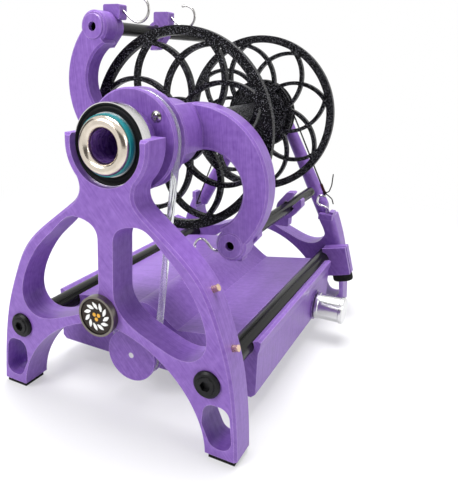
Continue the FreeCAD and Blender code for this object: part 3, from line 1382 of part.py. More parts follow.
problems = []
for obj in doc.Objects:
    for state in obj.State:
        if state in ("Invalid", "Error"):
            problems.append("%s is %s" % (obj.Label, state))
for obj in nodes:
    if obj.Shape.isNull() or not obj.Shape.isValid() or not obj.Shape.Solids:
        problems.append("%s has no valid solid" % obj.Label)
if problems:
    raise RuntimeError("; ".join(problems))

os.makedirs("parts", exist_ok=True)
for obj in nodes:
    obj.Shape.exportStep("parts/%s.step" % obj.Label)
    bounds = obj.Shape.BoundBox
    print("%-28s solids %d volume %9.1f  x %7.1f %7.1f  y %7.1f %7.1f  z %6.1f %6.1f" % (
        obj.Label, len(obj.Shape.Solids), obj.Shape.Volume, bounds.XMin, bounds.XMax, bounds.YMin, bounds.YMax,
        bounds.ZMin, bounds.ZMax))
print("%d nodes" % len(nodes))
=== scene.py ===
# %% [markdown]
# # A desk-top electric yarn spinner
#
# The machine is a spinning wheel shrunk to the size of a lunch box. Two printed frames stand on
# four feet and are tied together by a pair of black rods. Between them turns the flyer, an
# S-shaped arm with wire hooks, which twists the fibre and lays it on a bobbin. A motor hidden in
# the base drives the flyer through a clear round band.
#
# The solid model is loaded as it is and keeps every size. What this lesson adds is what makes it
# look like a real thing: soft edges, turned metal, printed plastic with its fine layers, and light.

# %% Load the solid model
import json
import math

import bmesh
import bpy
from mathutils import Matrix, Vector


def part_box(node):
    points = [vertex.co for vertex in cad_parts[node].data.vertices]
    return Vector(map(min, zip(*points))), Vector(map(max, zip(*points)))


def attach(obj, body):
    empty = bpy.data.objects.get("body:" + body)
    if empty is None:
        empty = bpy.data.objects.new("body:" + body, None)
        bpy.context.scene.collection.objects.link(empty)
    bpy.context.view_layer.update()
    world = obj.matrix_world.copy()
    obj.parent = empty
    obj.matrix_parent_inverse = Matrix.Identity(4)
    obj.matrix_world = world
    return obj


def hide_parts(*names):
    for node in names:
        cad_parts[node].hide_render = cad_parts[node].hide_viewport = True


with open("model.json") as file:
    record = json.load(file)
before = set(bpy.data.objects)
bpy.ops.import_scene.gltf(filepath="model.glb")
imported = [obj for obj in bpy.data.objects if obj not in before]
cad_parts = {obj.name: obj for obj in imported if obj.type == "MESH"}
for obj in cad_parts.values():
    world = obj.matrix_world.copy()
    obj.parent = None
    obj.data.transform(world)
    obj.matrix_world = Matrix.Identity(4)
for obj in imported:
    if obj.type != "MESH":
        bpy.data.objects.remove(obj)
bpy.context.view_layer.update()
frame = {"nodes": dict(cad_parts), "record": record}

# %% [markdown]
# ## Measuring from the machine, not from the page
#
# A maker thinks in millimetres from the parts that matter: sideways from the flyer's axis,
# backwards from the front frame's face, upwards from the table. `spot` turns such a place into
# Blender's metres, and `stand_box` reads a solid's size on the same ruler.

# %% A ruler that starts at the machine's own axis
MM = 0.001
scene = bpy.context.scene
shaft_low, shaft_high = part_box("flyer_shaft")
AXIS_X = (shaft_low[0] + shaft_high[0]) / 2
AXIS_HEIGHT = (shaft_low[2] + shaft_high[2]) / 2 / MM
FRONT_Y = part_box("front_frame")[0][1]


def spot(x, y, z):
    """Metres for a place x right of the axis, y behind the front face and z above the table."""
    return Vector((AXIS_X + x * MM, FRONT_Y + y * MM, z * MM))


def stand_box(node):
    """Low and high corner of a solid, in millimetres on the same ruler."""
    return [((x - AXIS_X) / MM, (y - FRONT_Y) / MM, z / MM) for x, y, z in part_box(node)]


def depth_of(node):
    """Front and back of a solid, in millimetres behind the front face."""
    low, high = stand_box(node)
    return low[1], high[1]


def middle_of(node):
    """Middle of a solid as seen from the front: right of the axis, and above the table."""
    low, high = stand_box(node)
    return (low[0] + high[0]) / 2, (low[2] + high[2]) / 2


def radius_of(node):
    """Outer radius, in millimetres, of a round solid that turns about a line along Y."""
    low, high = stand_box(node)
    return (high[2] - low[2]) / 2


print("flyer axis %.1f mm above the table" % AXIS_HEIGHT)

# %% [markdown]
# ## The camera comes first
#
# Everything else is judged through the camera, so it is set before any material. It stands a
# little to the right of the machine and above it, and close: the front frame looks clearly larger
# than the rear one. The lens shift slides the picture without changing the perspective.

# %% Place the camera
IMAGE_HEIGHT = 488
IMAGE_WIDTH = 458
FOCAL_PIXELS = 555.86
CENTRE_PIXELS = (192.64, 209.65)
CAMERA_PLACE = (163.93, -217.52, 197.31)  # millimetres on the machine's ruler
CAMERA_TURN = math.radians(27.64)
CAMERA_RISE = math.radians(15.39)
CAMERA_ROLL = math.radians(1.59)
SENSOR_WIDTH = 36.0
NEAREST = 0.01


def add_object(name, data):
    """New object in the scene for a mesh, a lamp or a camera."""
    obj = bpy.data.objects.new(name, data)
    scene.collection.objects.link(obj)
    return obj


def place_and_turn(obj, place, way):
    """Puts a camera, lamp or card at a place in metres and turns its front along a direction."""
    obj.location = place
    obj.rotation_mode = "QUATERNION"
    obj.rotation_quaternion = way.to_track_quat("-Z", "Y")


camera_data = bpy.data.cameras.new("studio_camera")
camera_data.sensor_width = SENSOR_WIDTH
camera_data.lens = FOCAL_PIXELS / IMAGE_HEIGHT * SENSOR_WIDTH
camera_data.shift_x = (IMAGE_WIDTH / 2 - CENTRE_PIXELS[0]) / IMAGE_HEIGHT
camera_data.shift_y = (CENTRE_PIXELS[1] - IMAGE_HEIGHT / 2) / IMAGE_HEIGHT
camera_data.clip_start = NEAREST
camera = add_object("studio_camera", camera_data)
scene.camera = camera
ahead = Vector((-math.sin(CAMERA_TURN) * math.cos(CAMERA_RISE), math.cos(CAMERA_TURN) * math.cos(CAMERA_RISE),
                -math.sin(CAMERA_RISE)))
place_and_turn(camera, spot(*CAMERA_PLACE), ahead)
camera.rotation_quaternion = camera.rotation_quaternion @ Matrix.Rotation(CAMERA_ROLL, 3, "Z").to_quaternion()
print("lens %.1f mm, shift %.3f %.3f" % (camera_data.lens, camera_data.shift_x, camera_data.shift_y))

# %% [markdown]
# ## Helpers for shader nodes
#
# The floor, the sky and every finish are small graphs of nodes. A few helpers keep them short. The
# first adds a node and feeds its inputs. The others stand for what comes back in many graphs, such
# as noise that is stretched along one axis, or a colour that follows a value.

# %% Add and feed nodes
WHITE = (1, 1, 1, 1)


def feed(tree, socket, value):
    """Links another node's output to a socket, or sets the socket's own value."""
    if isinstance(value, bpy.types.NodeSocket):
        tree.links.new(value, socket)
    else:
        socket.default_value = value


def add_node(tree, kind, inputs, **settings):
    """New node: its settings first, and then its inputs, each a value or another node's output."""
    node = tree.nodes.new("ShaderNode" + kind)
    for name, value in settings.items():
        setattr(node, name, value)
    for key, value in inputs.items():
        feed(tree, node.inputs[key], value)
    return node


def place_on(tree, space="Object"):
    """Where a point lies on its object, or another of the coordinates that a shader knows."""
    return add_node(tree, "TexCoord", {}).outputs[space]


def maths(tree, operation, *values):
    """Result of one step of arithmetic on numbers."""
    return add_node(tree, "Math", dict(enumerate(values)), operation=operation).outputs[0]


def vector_maths(tree, operation, *values):
    """Number that comes out of one step of arithmetic on vectors."""
    return add_node(tree, "VectorMath", dict(enumerate(values)), operation=operation).outputs["Value"]


def mix_shaders(tree, share, first, second):
    """First shader where the share is 0, second where it is 1."""
    return add_node(tree, "MixShader", {0: share, 1: first, 2: second}).outputs[0]


def mix(tree, share, first, second, kind="RGBA"):
    """First colour where the share is 0, second where it is 1. Kind FLOAT mixes numbers instead."""
    inputs = {"Factor": share, "A": first, "B": second}
    return add_node(tree, "Mix", inputs, data_type=kind).outputs["Result"]


def spread(tree, value, low, high, start=0.0, end=1.0, curve="LINEAR"):
    """Number that runs from low to high as a value goes from start to end."""
    inputs = {"Value": value, "From Min": start, "From Max": end, "To Min": low, "To Max": high}
    return add_node(tree, "MapRange", inputs, interpolation_type=curve).outputs["Result"]


def ramp(tree, value, low, high, start=0.3, end=0.7):
    """Colour that runs from low to high as a value goes from start to end."""
    node = add_node(tree, "ValToRGB", {"Fac": value})
    for stop, position, colour in zip(node.color_ramp.elements, (start, end), (low, high)):
        stop.position = position
        stop.color = (*colour, 1)
    return node.outputs["Color"]


def stretched_noise(tree, scale, detail=2.0, turn=(0, 0, 0)):
    """Noise in the machine's own coordinates, turned and then stretched by a scale for each axis."""
    lean = add_node(tree, "Mapping", {"Vector": place_on(tree), "Rotation": turn})
    stretch = add_node(tree, "Mapping", {"Vector": lean.outputs["Vector"], "Scale": scale})
    inputs = {"Vector": stretch.outputs["Vector"], "Scale": 1.0, "Detail": detail}
    return add_node(tree, "TexNoise", inputs).outputs["Fac"]


def even_noise(tree, scale, detail):
    """Noise in the machine's own coordinates with the same scale along every axis."""
    return stretched_noise(tree, (scale, scale, scale), detail)


def new_material(name):
    """New material. Returns it, its node tree and its surface shader."""
    material = bpy.data.materials.new(name)
    material.use_nodes = True
    return material, material.node_tree, material.node_tree.nodes["Principled BSDF"]


print("node helpers ready")

# %% [markdown]
# ## A white sweep and soft light
#
# Product pictures of shiny plastic are lit by large soft boxes, which put long gentle highlights
# on the curves. The floor is nearly white and keeps the machine's own shadow. Rays that look, from
# the camera or by way of something shiny or clear, find plain white air behind the machine, while
# the light that falls on it stays at a natural level. Two dim cards, which only shiny surfaces see,
# give the metal its dark bands.

# %% Floor and sky
SKY_LOW = (0.065, 0.065, 0.072)
SKY_HIGH = (0.53, 0.54, 0.57)
SKY_UP = (-0.25, 0.45, 0.85)
SKY_FULL = 0.75
FLOOR_DARK = (0.84, 0.84, 0.85)
FLOOR_PALE = (0.88, 0.88, 0.88)
FLOOR_ROUGHNESS = 0.55
FLOOR_GRAIN = 30.0
FLOOR_WIDTH = 8.0
FLOOR_DROP = 0.0002
FADE_START, FADE_END = 0.14, 0.50
FADE_NEAR = 0.45


def looked_at(tree):
    """1 for rays from the camera, off something shiny or through something clear, 0 for others."""
    path = add_node(tree, "LightPath", {})
    seen = path.outputs["Is Camera Ray"]
    for ray in ("Is Transmission Ray", "Is Glossy Ray"):
        seen = maths(tree, "MAXIMUM", seen, path.outputs[ray])
    return seen


def flat_mesh(name, width, height, material):
    """Rectangle about its own origin, in metres."""
    a, b = width / 2, height / 2
    mesh = bpy.data.meshes.new(name)
    mesh.from_pydata([(-a, -b, 0), (a, -b, 0), (a, b, 0), (-a, b, 0)], [], [(0, 1, 2, 3)])
    mesh.materials.append(material)
    return mesh


def make_floor():
    """Pale floor. For rays that look it turns to plain white away from the machine."""
    material, tree, surface = new_material("pale_floor")
    surface.inputs["Roughness"].default_value = FLOOR_ROUGHNESS
    grain = add_node(tree, "TexNoise", {"Scale": FLOOR_GRAIN})
    tint = ramp(tree, grain.outputs["Fac"], FLOOR_DARK, FLOOR_PALE, 0.0, 1.0)
    feed(tree, surface.inputs["Base Color"], tint)
    distance = vector_maths(tree, "LENGTH", place_on(tree))
    fade = spread(tree, distance, FADE_NEAR, 1.0, FADE_START, FADE_END, "SMOOTHSTEP")
    white = add_node(tree, "Emission", {"Color": WHITE})
    share = maths(tree, "MULTIPLY", looked_at(tree), fade)
    mixed = mix_shaders(tree, share, surface.outputs[0], white.outputs[0])
    feed(tree, tree.nodes["Material Output"].inputs["Surface"], mixed)
    floor = add_object("floor", flat_mesh("floor", FLOOR_WIDTH, FLOOR_WIDTH, material))
    floor.location.z = -FLOOR_DROP


def make_sky():
    """Plain white for rays that look. As light it is a dome, bright overhead and dim low in front."""
    scene.world = bpy.data.worlds.new("soft_sky")
    scene.world.use_nodes = True
    tree = scene.world.node_tree
    dome = tree.nodes["Background"]
    height = vector_maths(tree, "DOT_PRODUCT", place_on(tree, "Generated"), SKY_UP)
    feed(tree, dome.inputs["Color"], ramp(tree, height, SKY_LOW, SKY_HIGH, 0.0, SKY_FULL))
    white = add_node(tree, "Background", {"Color": WHITE})
    mixed = mix_shaders(tree, looked_at(tree), dome.outputs[0], white.outputs[0])
    feed(tree, tree.nodes["World Output"].inputs["Surface"], mixed)


scene.view_settings.view_transform = "Standard"
make_floor()
make_sky()
print("floor %.0f m wide under a white sky" % FLOOR_WIDTH)

# %% Lamps and cards round the machine, each at a place in metres from its middle
MIDDLE = spot(0, 110, 110)
# Name, place, width in metres and power in watts.
LAMPS = (("key_box", (-0.40, -0.82, 0.62), 0.50, 8.0),
         ("top_box", (-0.05, 0.15, 0.95), 0.55, 13.0),
         ("side_box", (0.95, -0.15, 0.35), 0.45, 2.2))
# Name, place, width and height in metres, and colour.
CARDS = (("front_card", (0.75, -1.45, 0.10), 2.6, 1.7, (0.10, 0.09, 0.085)),
         ("left_card", (-1.60, -0.30, 0.20), 1.2, 1.6, (0.12, 0.11, 0.10)))


def soft_box(name, place, width, watts):
    """A square area lamp that points at the machine."""
    data = bpy.data.lights.new(name, "AREA")
    data.shape = "SQUARE"
    data.size = width
    data.energy = watts
    place_and_turn(add_object(name, data), MIDDLE + Vector(place), -Vector(place))


def dark_card(name, place, width, height, shade):
    """A dim card that only shiny surfaces see. It adds no light or shadow."""
    material, tree, _ = new_material(name)
    dim = add_node(tree, "Emission", {"Color": (*shade, 1)})
    feed(tree, tree.nodes["Material Output"].inputs["Surface"], dim.outputs[0])
    card = add_object(name, flat_mesh(name, width, height, material))
    place_and_turn(card, MIDDLE + Vector(place), -Vector(place))
    for ray in ("camera", "diffuse", "transmission", "shadow"):
        setattr(card, "visible_" + ray, False)


for lamp in LAMPS:
    soft_box(*lamp)
for card in CARDS:
    dark_card(*card)
print(len(LAMPS), "soft boxes and", len(CARDS), "dark cards")

# %% [markdown]
# ## Printed plastic
#
# The purple pieces come off a filament printer. Seen close, a printed wall is a stack of fine
# ribs, and a printed face shows the slanting passes of the nozzle. Both are far finer than the
# machine's forms, so they belong in the material. The layers lie in planes of constant Y, because
# the pieces are printed on their faces: the bump therefore runs with Y on the walls, and slants
# across the faces, where the surface's normal points along Y.

# %% Purple print
finishes = {}
GRAIN_HEIGHT = 0.0002
LAYER_HEIGHT = 0.00015
PURPLE = (0.162, 0.066, 0.340)
PURPLE_PALE = (0.285, 0.152, 0.515)
# Painted highlight: a paler purple mixed in along every bevelled edge, as light caught there.
EDGE_HIGHLIGHT_COLOUR = (0.54, 0.38, 0.73)
EDGE_RADIUS = 0.0007
EDGE_HIGHLIGHT_SHARE = 0.55
EDGE_START, EDGE_FULL = 0.995, 0.90
LAYERS = 2600.0
ALONG_LAYER = 26.0
PASSES = 1900.0
ALONG_PASS = 60.0
LINE_SHARE = 0.55
SHARPEST = 0.03


def start_finish(name, colour, roughness, metallic=0.0, shine=0.5):
    """New finish for the machine, with its main values. Returns its node tree and surface shader."""
    material, tree, surface = new_material(name)
    values = {"Base Color": (*colour, 1), "Roughness": roughness, "Metallic": metallic,
              "Specular IOR Level": shine}
    for socket, value in values.items():
        surface.inputs[socket].default_value = value
    finishes[name] = material
    return tree, surface


def cover(tree, surface, colour, roughness, relief, strength, height=GRAIN_HEIGHT):
    """Feeds a surface its colour and roughness, and a bump whose full height is given in metres."""
    bump = add_node(tree, "Bump", {"Height": relief, "Strength": strength, "Distance": height})
    feed(tree, surface.inputs["Base Color"], colour)
    feed(tree, surface.inputs["Roughness"], roughness)
    feed(tree, surface.inputs["Normal"], bump.outputs["Normal"])


def uneven(tree, value, roughness, less=0.08, more=0.10):
    """Roughness that lies a little below or above its mean, as a value from 0 to 1 says."""
    return spread(tree, value, max(SHARPEST, roughness - less), roughness + more)


def toned(colour, factor):
    """A colour made darker by a factor."""
    return tuple(c * factor for c in colour)


def face_share(tree):
    """1 where a surface faces along Y, 0 on a wall that runs along Y."""
    parts = add_node(tree, "SeparateXYZ", {0: place_on(tree, "Normal")})
    return maths(tree, "ABSOLUTE", parts.outputs["Y"])


def painted_edge_highlight(tree):
    """0 on open faces and up to about a half on edges, where a paler painted highlight is laid."""
    rounded = add_node(tree, "Bevel", {"Radius": EDGE_RADIUS}, samples=4)
    shape = add_node(tree, "NewGeometry", {})
    same = vector_maths(tree, "DOT_PRODUCT", rounded.outputs["Normal"], shape.outputs["Normal"])
    return spread(tree, same, 0.0, EDGE_HIGHLIGHT_SHARE, EDGE_START, EDGE_FULL)


def printed(name, low, high, roughness, slant=42, layers=LAYERS, depth=0.25):
    """Satin printed plastic: fine layers round the walls and slanting passes on the faces."""
    tree, surface = start_finish(name, low, roughness, shine=0.36)
    walls = stretched_noise(tree, (ALONG_LAYER, layers, ALONG_LAYER))
    faces = stretched_noise(tree, (PASSES, ALONG_PASS, ALONG_PASS), turn=(0, math.radians(slant), 0))
    lines = mix(tree, face_share(tree), walls, faces, kind="FLOAT")
    cloud = even_noise(tree, 330.0, detail=5.0)
    both = maths(tree, "MULTIPLY_ADD", lines, LINE_SHARE, spread(tree, cloud, 0.0, 1 - LINE_SHARE))
    # Paler purple on the edges is a painted highlight.
    with_edge_highlight = mix(tree, painted_edge_highlight(tree), ramp(tree, both, low, high), (*EDGE_HIGHLIGHT_COLOUR, 1))
    cover(tree, surface, with_edge_highlight, uneven(tree, cloud, roughness), lines, depth, LAYER_HEIGHT * LAYERS / layers)


printed("purple_print", PURPLE, PURPLE_PALE, 0.36)
printed("purple_upright", PURPLE, PURPLE_PALE, 0.36, slant=6)
# A darker copy of the purple print is painted shade, for the orifice's bore and the recessed ring round the
# knob.
printed("purple_painted_shade", toned(PURPLE, 0.60), toned(PURPLE_PALE, 0.85), 0.26, layers=700.0, depth=1.0)
print("printed plastic:", ", ".join(finishes))

# %% [markdown]
# ## Glitter black
#
# The bobbin is printed in black filament with tiny reflective flakes, on a rough bed that leaves a
# fine grain. The cells of a Voronoi pattern each get a random colour. Only the few with the most
# red are flakes, which are far brighter than the plastic round them. The green sets how sharply
# each cell reflects.

# %% Black print with flakes
FLAKES = 4000.0
FLAKE_START, FLAKE_END = 0.92, 0.96
FLAKE_COLOUR = (0.30, 0.30, 0.33, 1)
BETWEEN_FLAKES = (0.003, 0.003, 0.0035, 1)


def glitter_black(name):
    """Black plastic with small bright flakes and a fine grain."""
    tree, surface = start_finish(name, (0.006, 0.006, 0.007), 0.30, shine=0.09)
    cells = add_node(tree, "TexVoronoi", {"Vector": place_on(tree), "Scale": FLAKES})
    cell = add_node(tree, "SeparateColor", {0: cells.outputs["Color"]})
    flakes = ramp(tree, cell.outputs["Red"], (0, 0, 0), (1, 1, 1), FLAKE_START, FLAKE_END)
    colour = mix(tree, flakes, BETWEEN_FLAKES, FLAKE_COLOUR)
    grain = even_noise(tree, 1400.0, detail=3.0)
    cover(tree, surface, colour, spread(tree, cell.outputs["Green"], 0.20, 0.40), grain, 0.22)


glitter_black("black_print")
print("flakes %.2f mm across" % (1 / FLAKES / MM))

# %% [markdown]
# ## Rods, rubber and metal
#
# The rods are pulled carbon tube, sanded smooth: black with a faint weave under a thin gloss. The
# metals differ mostly in how sharply they reflect. Bearings and pins are turned and stay a little
# soft, wire and the orifice ring are brighter, and the bolts are blackened.

# %% Rods and rubber
WEAVE = 900.0
WEAVE_TURN = (0, 0, math.radians(45))


def carbon(name):
    """Black tube with a slanting weave and fine streaks along its length."""
    tree, surface = start_finish(name, (0.008, 0.008, 0.008), 0.36, shine=0.20)
    inputs = {"Vector": place_on(tree), "Rotation": WEAVE_TURN, "Scale": (WEAVE, WEAVE, WEAVE)}
    lean = add_node(tree, "Mapping", inputs)
    check = add_node(tree, "TexChecker", {"Vector": lean.outputs["Vector"], "Scale": 1.0})
    weave = ramp(tree, check.outputs["Fac"], (0.004, 0.004, 0.004), (0.011, 0.011, 0.009), 0.0, 1.0)
    streaks = stretched_noise(tree, (500, 20, 500), detail=3.0)
    cover(tree, surface, weave, spread(tree, streaks, 0.14, 0.34), streaks, 0.10)


def rubber(name, colour, roughness):
    """Dull black rubber with a fine grain."""
    tree, surface = start_finish(name, colour, roughness, shine=0.12)
    grain = even_noise(tree, 900.0, detail=3.0)
    pale = tuple(c * 1.7 + 0.004 for c in colour)
    cover(tree, surface, ramp(tree, grain, colour, pale), roughness, grain, 0.25)


carbon("black_rod")
rubber("rubber_pad", (0.006, 0.006, 0.006), 0.7)
rubber("seal", (0.003, 0.003, 0.0035), 0.48)
print("carbon weave %.1f mm wide" % (1 / WEAVE / MM))

# %% Metals
METAL_GRAIN = 0.0001


def metal(name, colour, roughness, lines=(300, 300, 300), depth=0.06):
    """Metal whose roughness and brightness vary a little along its tool marks."""
    tree, surface = start_finish(name, colour, roughness, metallic=1.0)
    marks = stretched_noise(tree, lines, detail=4.0)
    tint = ramp(tree, marks, toned(colour, 0.86), colour)
    cover(tree, surface, tint, uneven(tree, marks, roughness), marks, depth, METAL_GRAIN)


def blackened(name):
    """Steel with a black coat that shines a little where it is worn."""
    tree, surface = start_finish(name, (0.010, 0.010, 0.011), 0.38, shine=0.20)
    wear = even_noise(tree, 250.0, detail=5.0)
    tint = ramp(tree, wear, (0.003, 0.003, 0.0035), (0.010, 0.010, 0.011))
    cover(tree, surface, tint, spread(tree, wear, 0.28, 0.5), wear, 0.10)


metal("steel", (0.58, 0.58, 0.59), 0.30, (60, 1800, 60))
metal("polished", (0.80, 0.79, 0.78), 0.12)
metal("wire", (0.50, 0.49, 0.48), 0.18, (900, 900, 900))
metal("champagne", (0.74, 0.66, 0.56), 0.21, (200, 200, 200), 0.03)
metal("copper_pin", (0.80, 0.58, 0.42), 0.24, (600, 600, 600))
metal("knob_metal", (0.76, 0.76, 0.76), 0.20, (40, 2200, 2200), 0.22)
metal("gunmetal", (0.20, 0.18, 0.16), 0.30, (400, 400, 400))
blackened("black_bolt")
print(len(finishes), "finishes so far")

# %% Small finishes: gasket, band, cord, board and badge
BAND_CLEARNESS = 0.85
BAND_BENDING = 1.42
CORD_TWIST = 900.0
CORD_ROUGHNESS = 0.8
TWIST_HEIGHT = 0.0003


def plain_plastic(name, colour, roughness, scale=120.0, shine=0.5):
    """Moulded plastic or enamel with a faint cloud in its colour and gloss."""
    tree, surface = start_finish(name, colour, roughness, shine=shine)
    cloud = even_noise(tree, scale, detail=4.0)
    tint = ramp(tree, cloud, toned(colour, 0.85), colour)
    cover(tree, surface, tint, uneven(tree, cloud, roughness, 0.05, 0.08), cloud, 0.05)


def clear_band(name):
    """Clear soft plastic with fine streaks in its gloss."""
    tree, surface = start_finish(name, (0.93, 0.95, 0.95), 0.12)
    surface.inputs["Transmission Weight"].default_value = BAND_CLEARNESS
    surface.inputs["IOR"].default_value = BAND_BENDING
    streaks = stretched_noise(tree, (400, 400, 60), detail=3.0)
    feed(tree, surface.inputs["Roughness"], spread(tree, streaks, 0.06, 0.22))


def twisted_cord(name, dark, pale):
    """Cord or thread whose strands run round it as fine ridges."""
    tree, surface = start_finish(name, dark, CORD_ROUGHNESS, shine=0.15)
    inputs = {"Vector": place_on(tree), "Scale": CORD_TWIST, "Distortion": 1.5}
    twist = add_node(tree, "TexWave", inputs).outputs["Fac"]
    cover(tree, surface, ramp(tree, twist, dark, pale, 0.2, 0.8), CORD_ROUGHNESS, twist, 0.5, TWIST_HEIGHT)


plain_plastic("teal", (0.010, 0.260, 0.300), 0.38)
plain_plastic("board", (0.020, 0.130, 0.050), 0.45)
plain_plastic("leaf_white", (0.90, 0.90, 0.87), 0.28)
plain_plastic("seed_yellow", (0.85, 0.42, 0.02), 0.35, 900.0)
plain_plastic("badge", (0.024, 0.016, 0.012), 0.25, shine=0.18)
clear_band("clear_band")
twisted_cord("cord", (0.003, 0.002, 0.002), (0.020, 0.010, 0.010))
twisted_cord("whipping_thread", (0.016, 0.003, 0.004), (0.080, 0.016, 0.020))
print(len(finishes), "finishes:", ", ".join(sorted(finishes)))

# %% [markdown]
# ## Dress the solids
#
# Most solids already have their true form, so they only get a finish and softer edges. No printed
# or machined edge is a knife: a narrow bevel catches a line of light and tells the eye how thick
# the plastic is. The record says which finish each piece has, and a short list names those that
# look different from the rest of their kind. A thin coat makes the wire hooks a little stouter.

# %% Finish and bevel for every solid
slot_of = {entry["node"]: entry["material_slot"] for entry in frame["record"]["subparts"]}
SHARP = math.radians(34)
FINE_BEVEL = 0.2
# Widths of the bevels that are wider than the fine one, in millimetres.
BEVELS = {"front_frame": 1.1, "rear_frame": 1.0, "flyer_arms": 1.2, "flyer_pulley": 0.4, "housing_shell": 0.5,
          "bobbin_front_disc": 0.45, "bobbin_rear_disc": 0.45, "front_rod_bolts": 0.5, "rear_rod_bolts": 0.5,
          "brake_whorl": 0.3, "motor_pulley": 0.3, "speed_knob": 0.3}
# Finishes that differ from the record's.
# The orifice tube and the dial ring take the darker purple as painted shade.
SPECIAL = {"orifice_eyelet": "champagne", "side_pins": "copper_pin", "brake_hook": "polished",
           "flyer_arms": "purple_upright", "flyer_pulley": "purple_upright", "orifice_tube": "purple_painted_shade",
           "medallion_case": "gunmetal", "pulley_screws": "wire", "dial_ring": "purple_painted_shade",
           "front_bearing_outer_race": "polished"}
# Thickness added to a wire's radius, in millimetres.
WIRE_COATS = {"brake_hook": 0.20}
for carrier in ("near_left", "near_right", "far_left", "far_right"):
    BEVELS["slider_" + carrier] = 0.5
    SPECIAL["hook_" + carrier] = "wire"
    WIRE_COATS["hook_" + carrier] = 0.12
SAME_CORNER = 1e-6


def soften(obj, width_mm):
    """Smooth shading with a narrow bevel on the edges that are really edges."""
    obj.data.shade_smooth()
    edge = obj.modifiers.new("soft_edge", "BEVEL")
    edge.width = width_mm * MM
    edge.segments = 2
    edge.limit_method = "ANGLE"
    edge.angle_limit = SHARP
    edge.use_clamp_overlap = True
    edge.harden_normals = True


def coat(obj, thickness_mm):
    """Thickens a wire. Its faces are joined at their corners first, so that the coat has no cracks."""
    obj.modifiers.new("closed", "WELD").merge_threshold = SAME_CORNER
    layer = obj.modifiers.new("coat", "DISPLACE")
    layer.mid_level = 0.0
    layer.strength = thickness_mm * MM


for node_name, obj in frame["nodes"].items():
    obj.data.materials.clear()
    obj.data.materials.append(finishes[SPECIAL.get(node_name, slot_of[node_name])])
    if node_name in WIRE_COATS:
        coat(obj, WIRE_COATS[node_name])
    soften(obj, BEVELS.get(node_name, FINE_BEVEL))
print("dressed", len(frame["nodes"]), "solids")

# %% [markdown]
# ## Skins and turned pieces
#
# Every piece that this lesson makes is a skin over rings of places: a tube has a ring at each step
# of its path, a block has one at each change of outline, and a domed leaf has rings that grow from
# a point. Lathe work is the same, with one ring for each corner of a profile, which is written as
# pairs of radius and depth, the way a turner would note them down.

# %% Skins and a lathe
SAME_PLACE = 1e-7


def circle(steps):
    """Angles of equal steps round a full turn."""
    return [2 * math.pi * i / steps for i in range(steps)]


def skinned_piece(name, rings, finish, body, bevel=None, joined=False):
    """Piece with a skin over rings of places in millimetres, its ends capped or joined to each other.

    A ring whose places are all the same closes to a point.
    """
    work = bmesh.new()
    corners = [[work.verts.new(spot(*place)) for place in ring] for ring in rings]
    for one, two in zip(corners, corners[1:] + corners[:1] if joined else corners[1:]):
        for i in range(len(one)):
            k = (i + 1) % len(one)
            work.faces.new((one[i], one[k], two[k], two[i]))
    if not joined:
        work.faces.new(corners[0])
        work.faces.new(corners[-1])
    bmesh.ops.remove_doubles(work, verts=work.verts, dist=SAME_PLACE)
    bmesh.ops.recalc_face_normals(work, faces=work.faces)
    mesh = bpy.data.meshes.new(name)
    work.to_mesh(mesh)
    work.free()
    mesh.materials.append(finishes[finish])
    piece = add_object(name, mesh)
    if bevel is None:
        mesh.shade_smooth()
    else:
        soften(piece, bevel)
    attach(piece, body)
    return piece


def turned_piece(name, profile, x, z, finish, body, joined=False, steps=96):
    """Piece turned about a line along Y at x, z, from a profile of radius and depth in millimetres."""
    rings = [[(x + r * math.cos(turn), y, z + r * math.sin(turn)) for turn in circle(steps)]
             for r, y in profile]
    return skinned_piece(name, rings, finish, body, joined=joined)


print("skins are joined where places are less than %.4f mm apart" % (SAME_PLACE / MM))

# %% [markdown]
# ## Bearing seals
#
# A sealed bearing shows a rubber washer between its two rings. It is not flat: it is pressed in at
# the outer edge, dips into a shallow channel and ends in a thin lip that wipes the inner ring. That
# channel is what catches the light, so the seal is turned from a profile of its own. A thin lip of
# rubber laps over the face of the outer ring, which leaves only a narrow rim of steel.

# %% Turn both seals
SEAL_GAP = 0.2
LIP_WIDTH = 0.80
LIP_THICK = 0.08
LIP_OFF = 0.01
LIP_ROOT = 0.06
# Share of the seal's width inwards from its outer edge, and depth below its face in millimetres.
CHANNEL = ((0.10, 0.00), (0.16, 0.25), (0.24, 0.30), (0.34, 0.06),
           (0.66, 0.02), (0.76, 0.24), (0.90, 0.30), (1.00, 0.12))


def turn_seal(end):
    """Rubber seal between the two rings of a bearing, with a thin lip over the outer ring's face."""
    node = "%s_bearing_shield" % end
    front, back = depth_of(node)
    race_front, race_back = depth_of("%s_bearing_outer_race" % end)
    outer = radius_of(node)
    inner = radius_of("%s_bearing_inner_race" % end) + SEAL_GAP
    width = outer - inner
    face = [(outer - width * share, dip) for share, dip in CHANNEL]
    lip = [(outer, LIP_OFF), (outer + LIP_WIDTH, LIP_OFF), (outer + LIP_WIDTH, LIP_OFF + LIP_THICK),
           (outer - width * LIP_ROOT, LIP_OFF + LIP_THICK)]
    front_half = [(r, race_front - off) for r, off in lip] + [(r, front + dip) for r, dip in face]
    back_half = [(r, race_back + off) for r, off in lip] + [(r, back - dip) for r, dip in face]
    profile = front_half + back_half[::-1]
    seal = turned_piece("%s_bearing_seal" % end, profile, 0, AXIS_HEIGHT, "seal", "stand",
                        joined=True)
    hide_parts(node)
    print("%s seal: outer and inner radius %.1f, %.1f mm" % (end, outer, inner))


for bearing_end in ("front", "rear"):
    turn_seal(bearing_end)

# %% [markdown]
# ## The medallion
#
# A round badge sits where the strut meets the arch: a dark metal cup, a dark enamel ground and a
# wreath of slanted white leaves round three yellow seeds. Each leaf is its own little cushion, so
# that light rolls over it, and the ground is turned with a slight crown.

# %% Enamel ground
GROUND_SUNK = 0.18
CROWN_FALL = 0.25
CROWN_SHARES = (0.0, 0.2, 0.4, 0.6, 0.8, 0.94, 1.0)

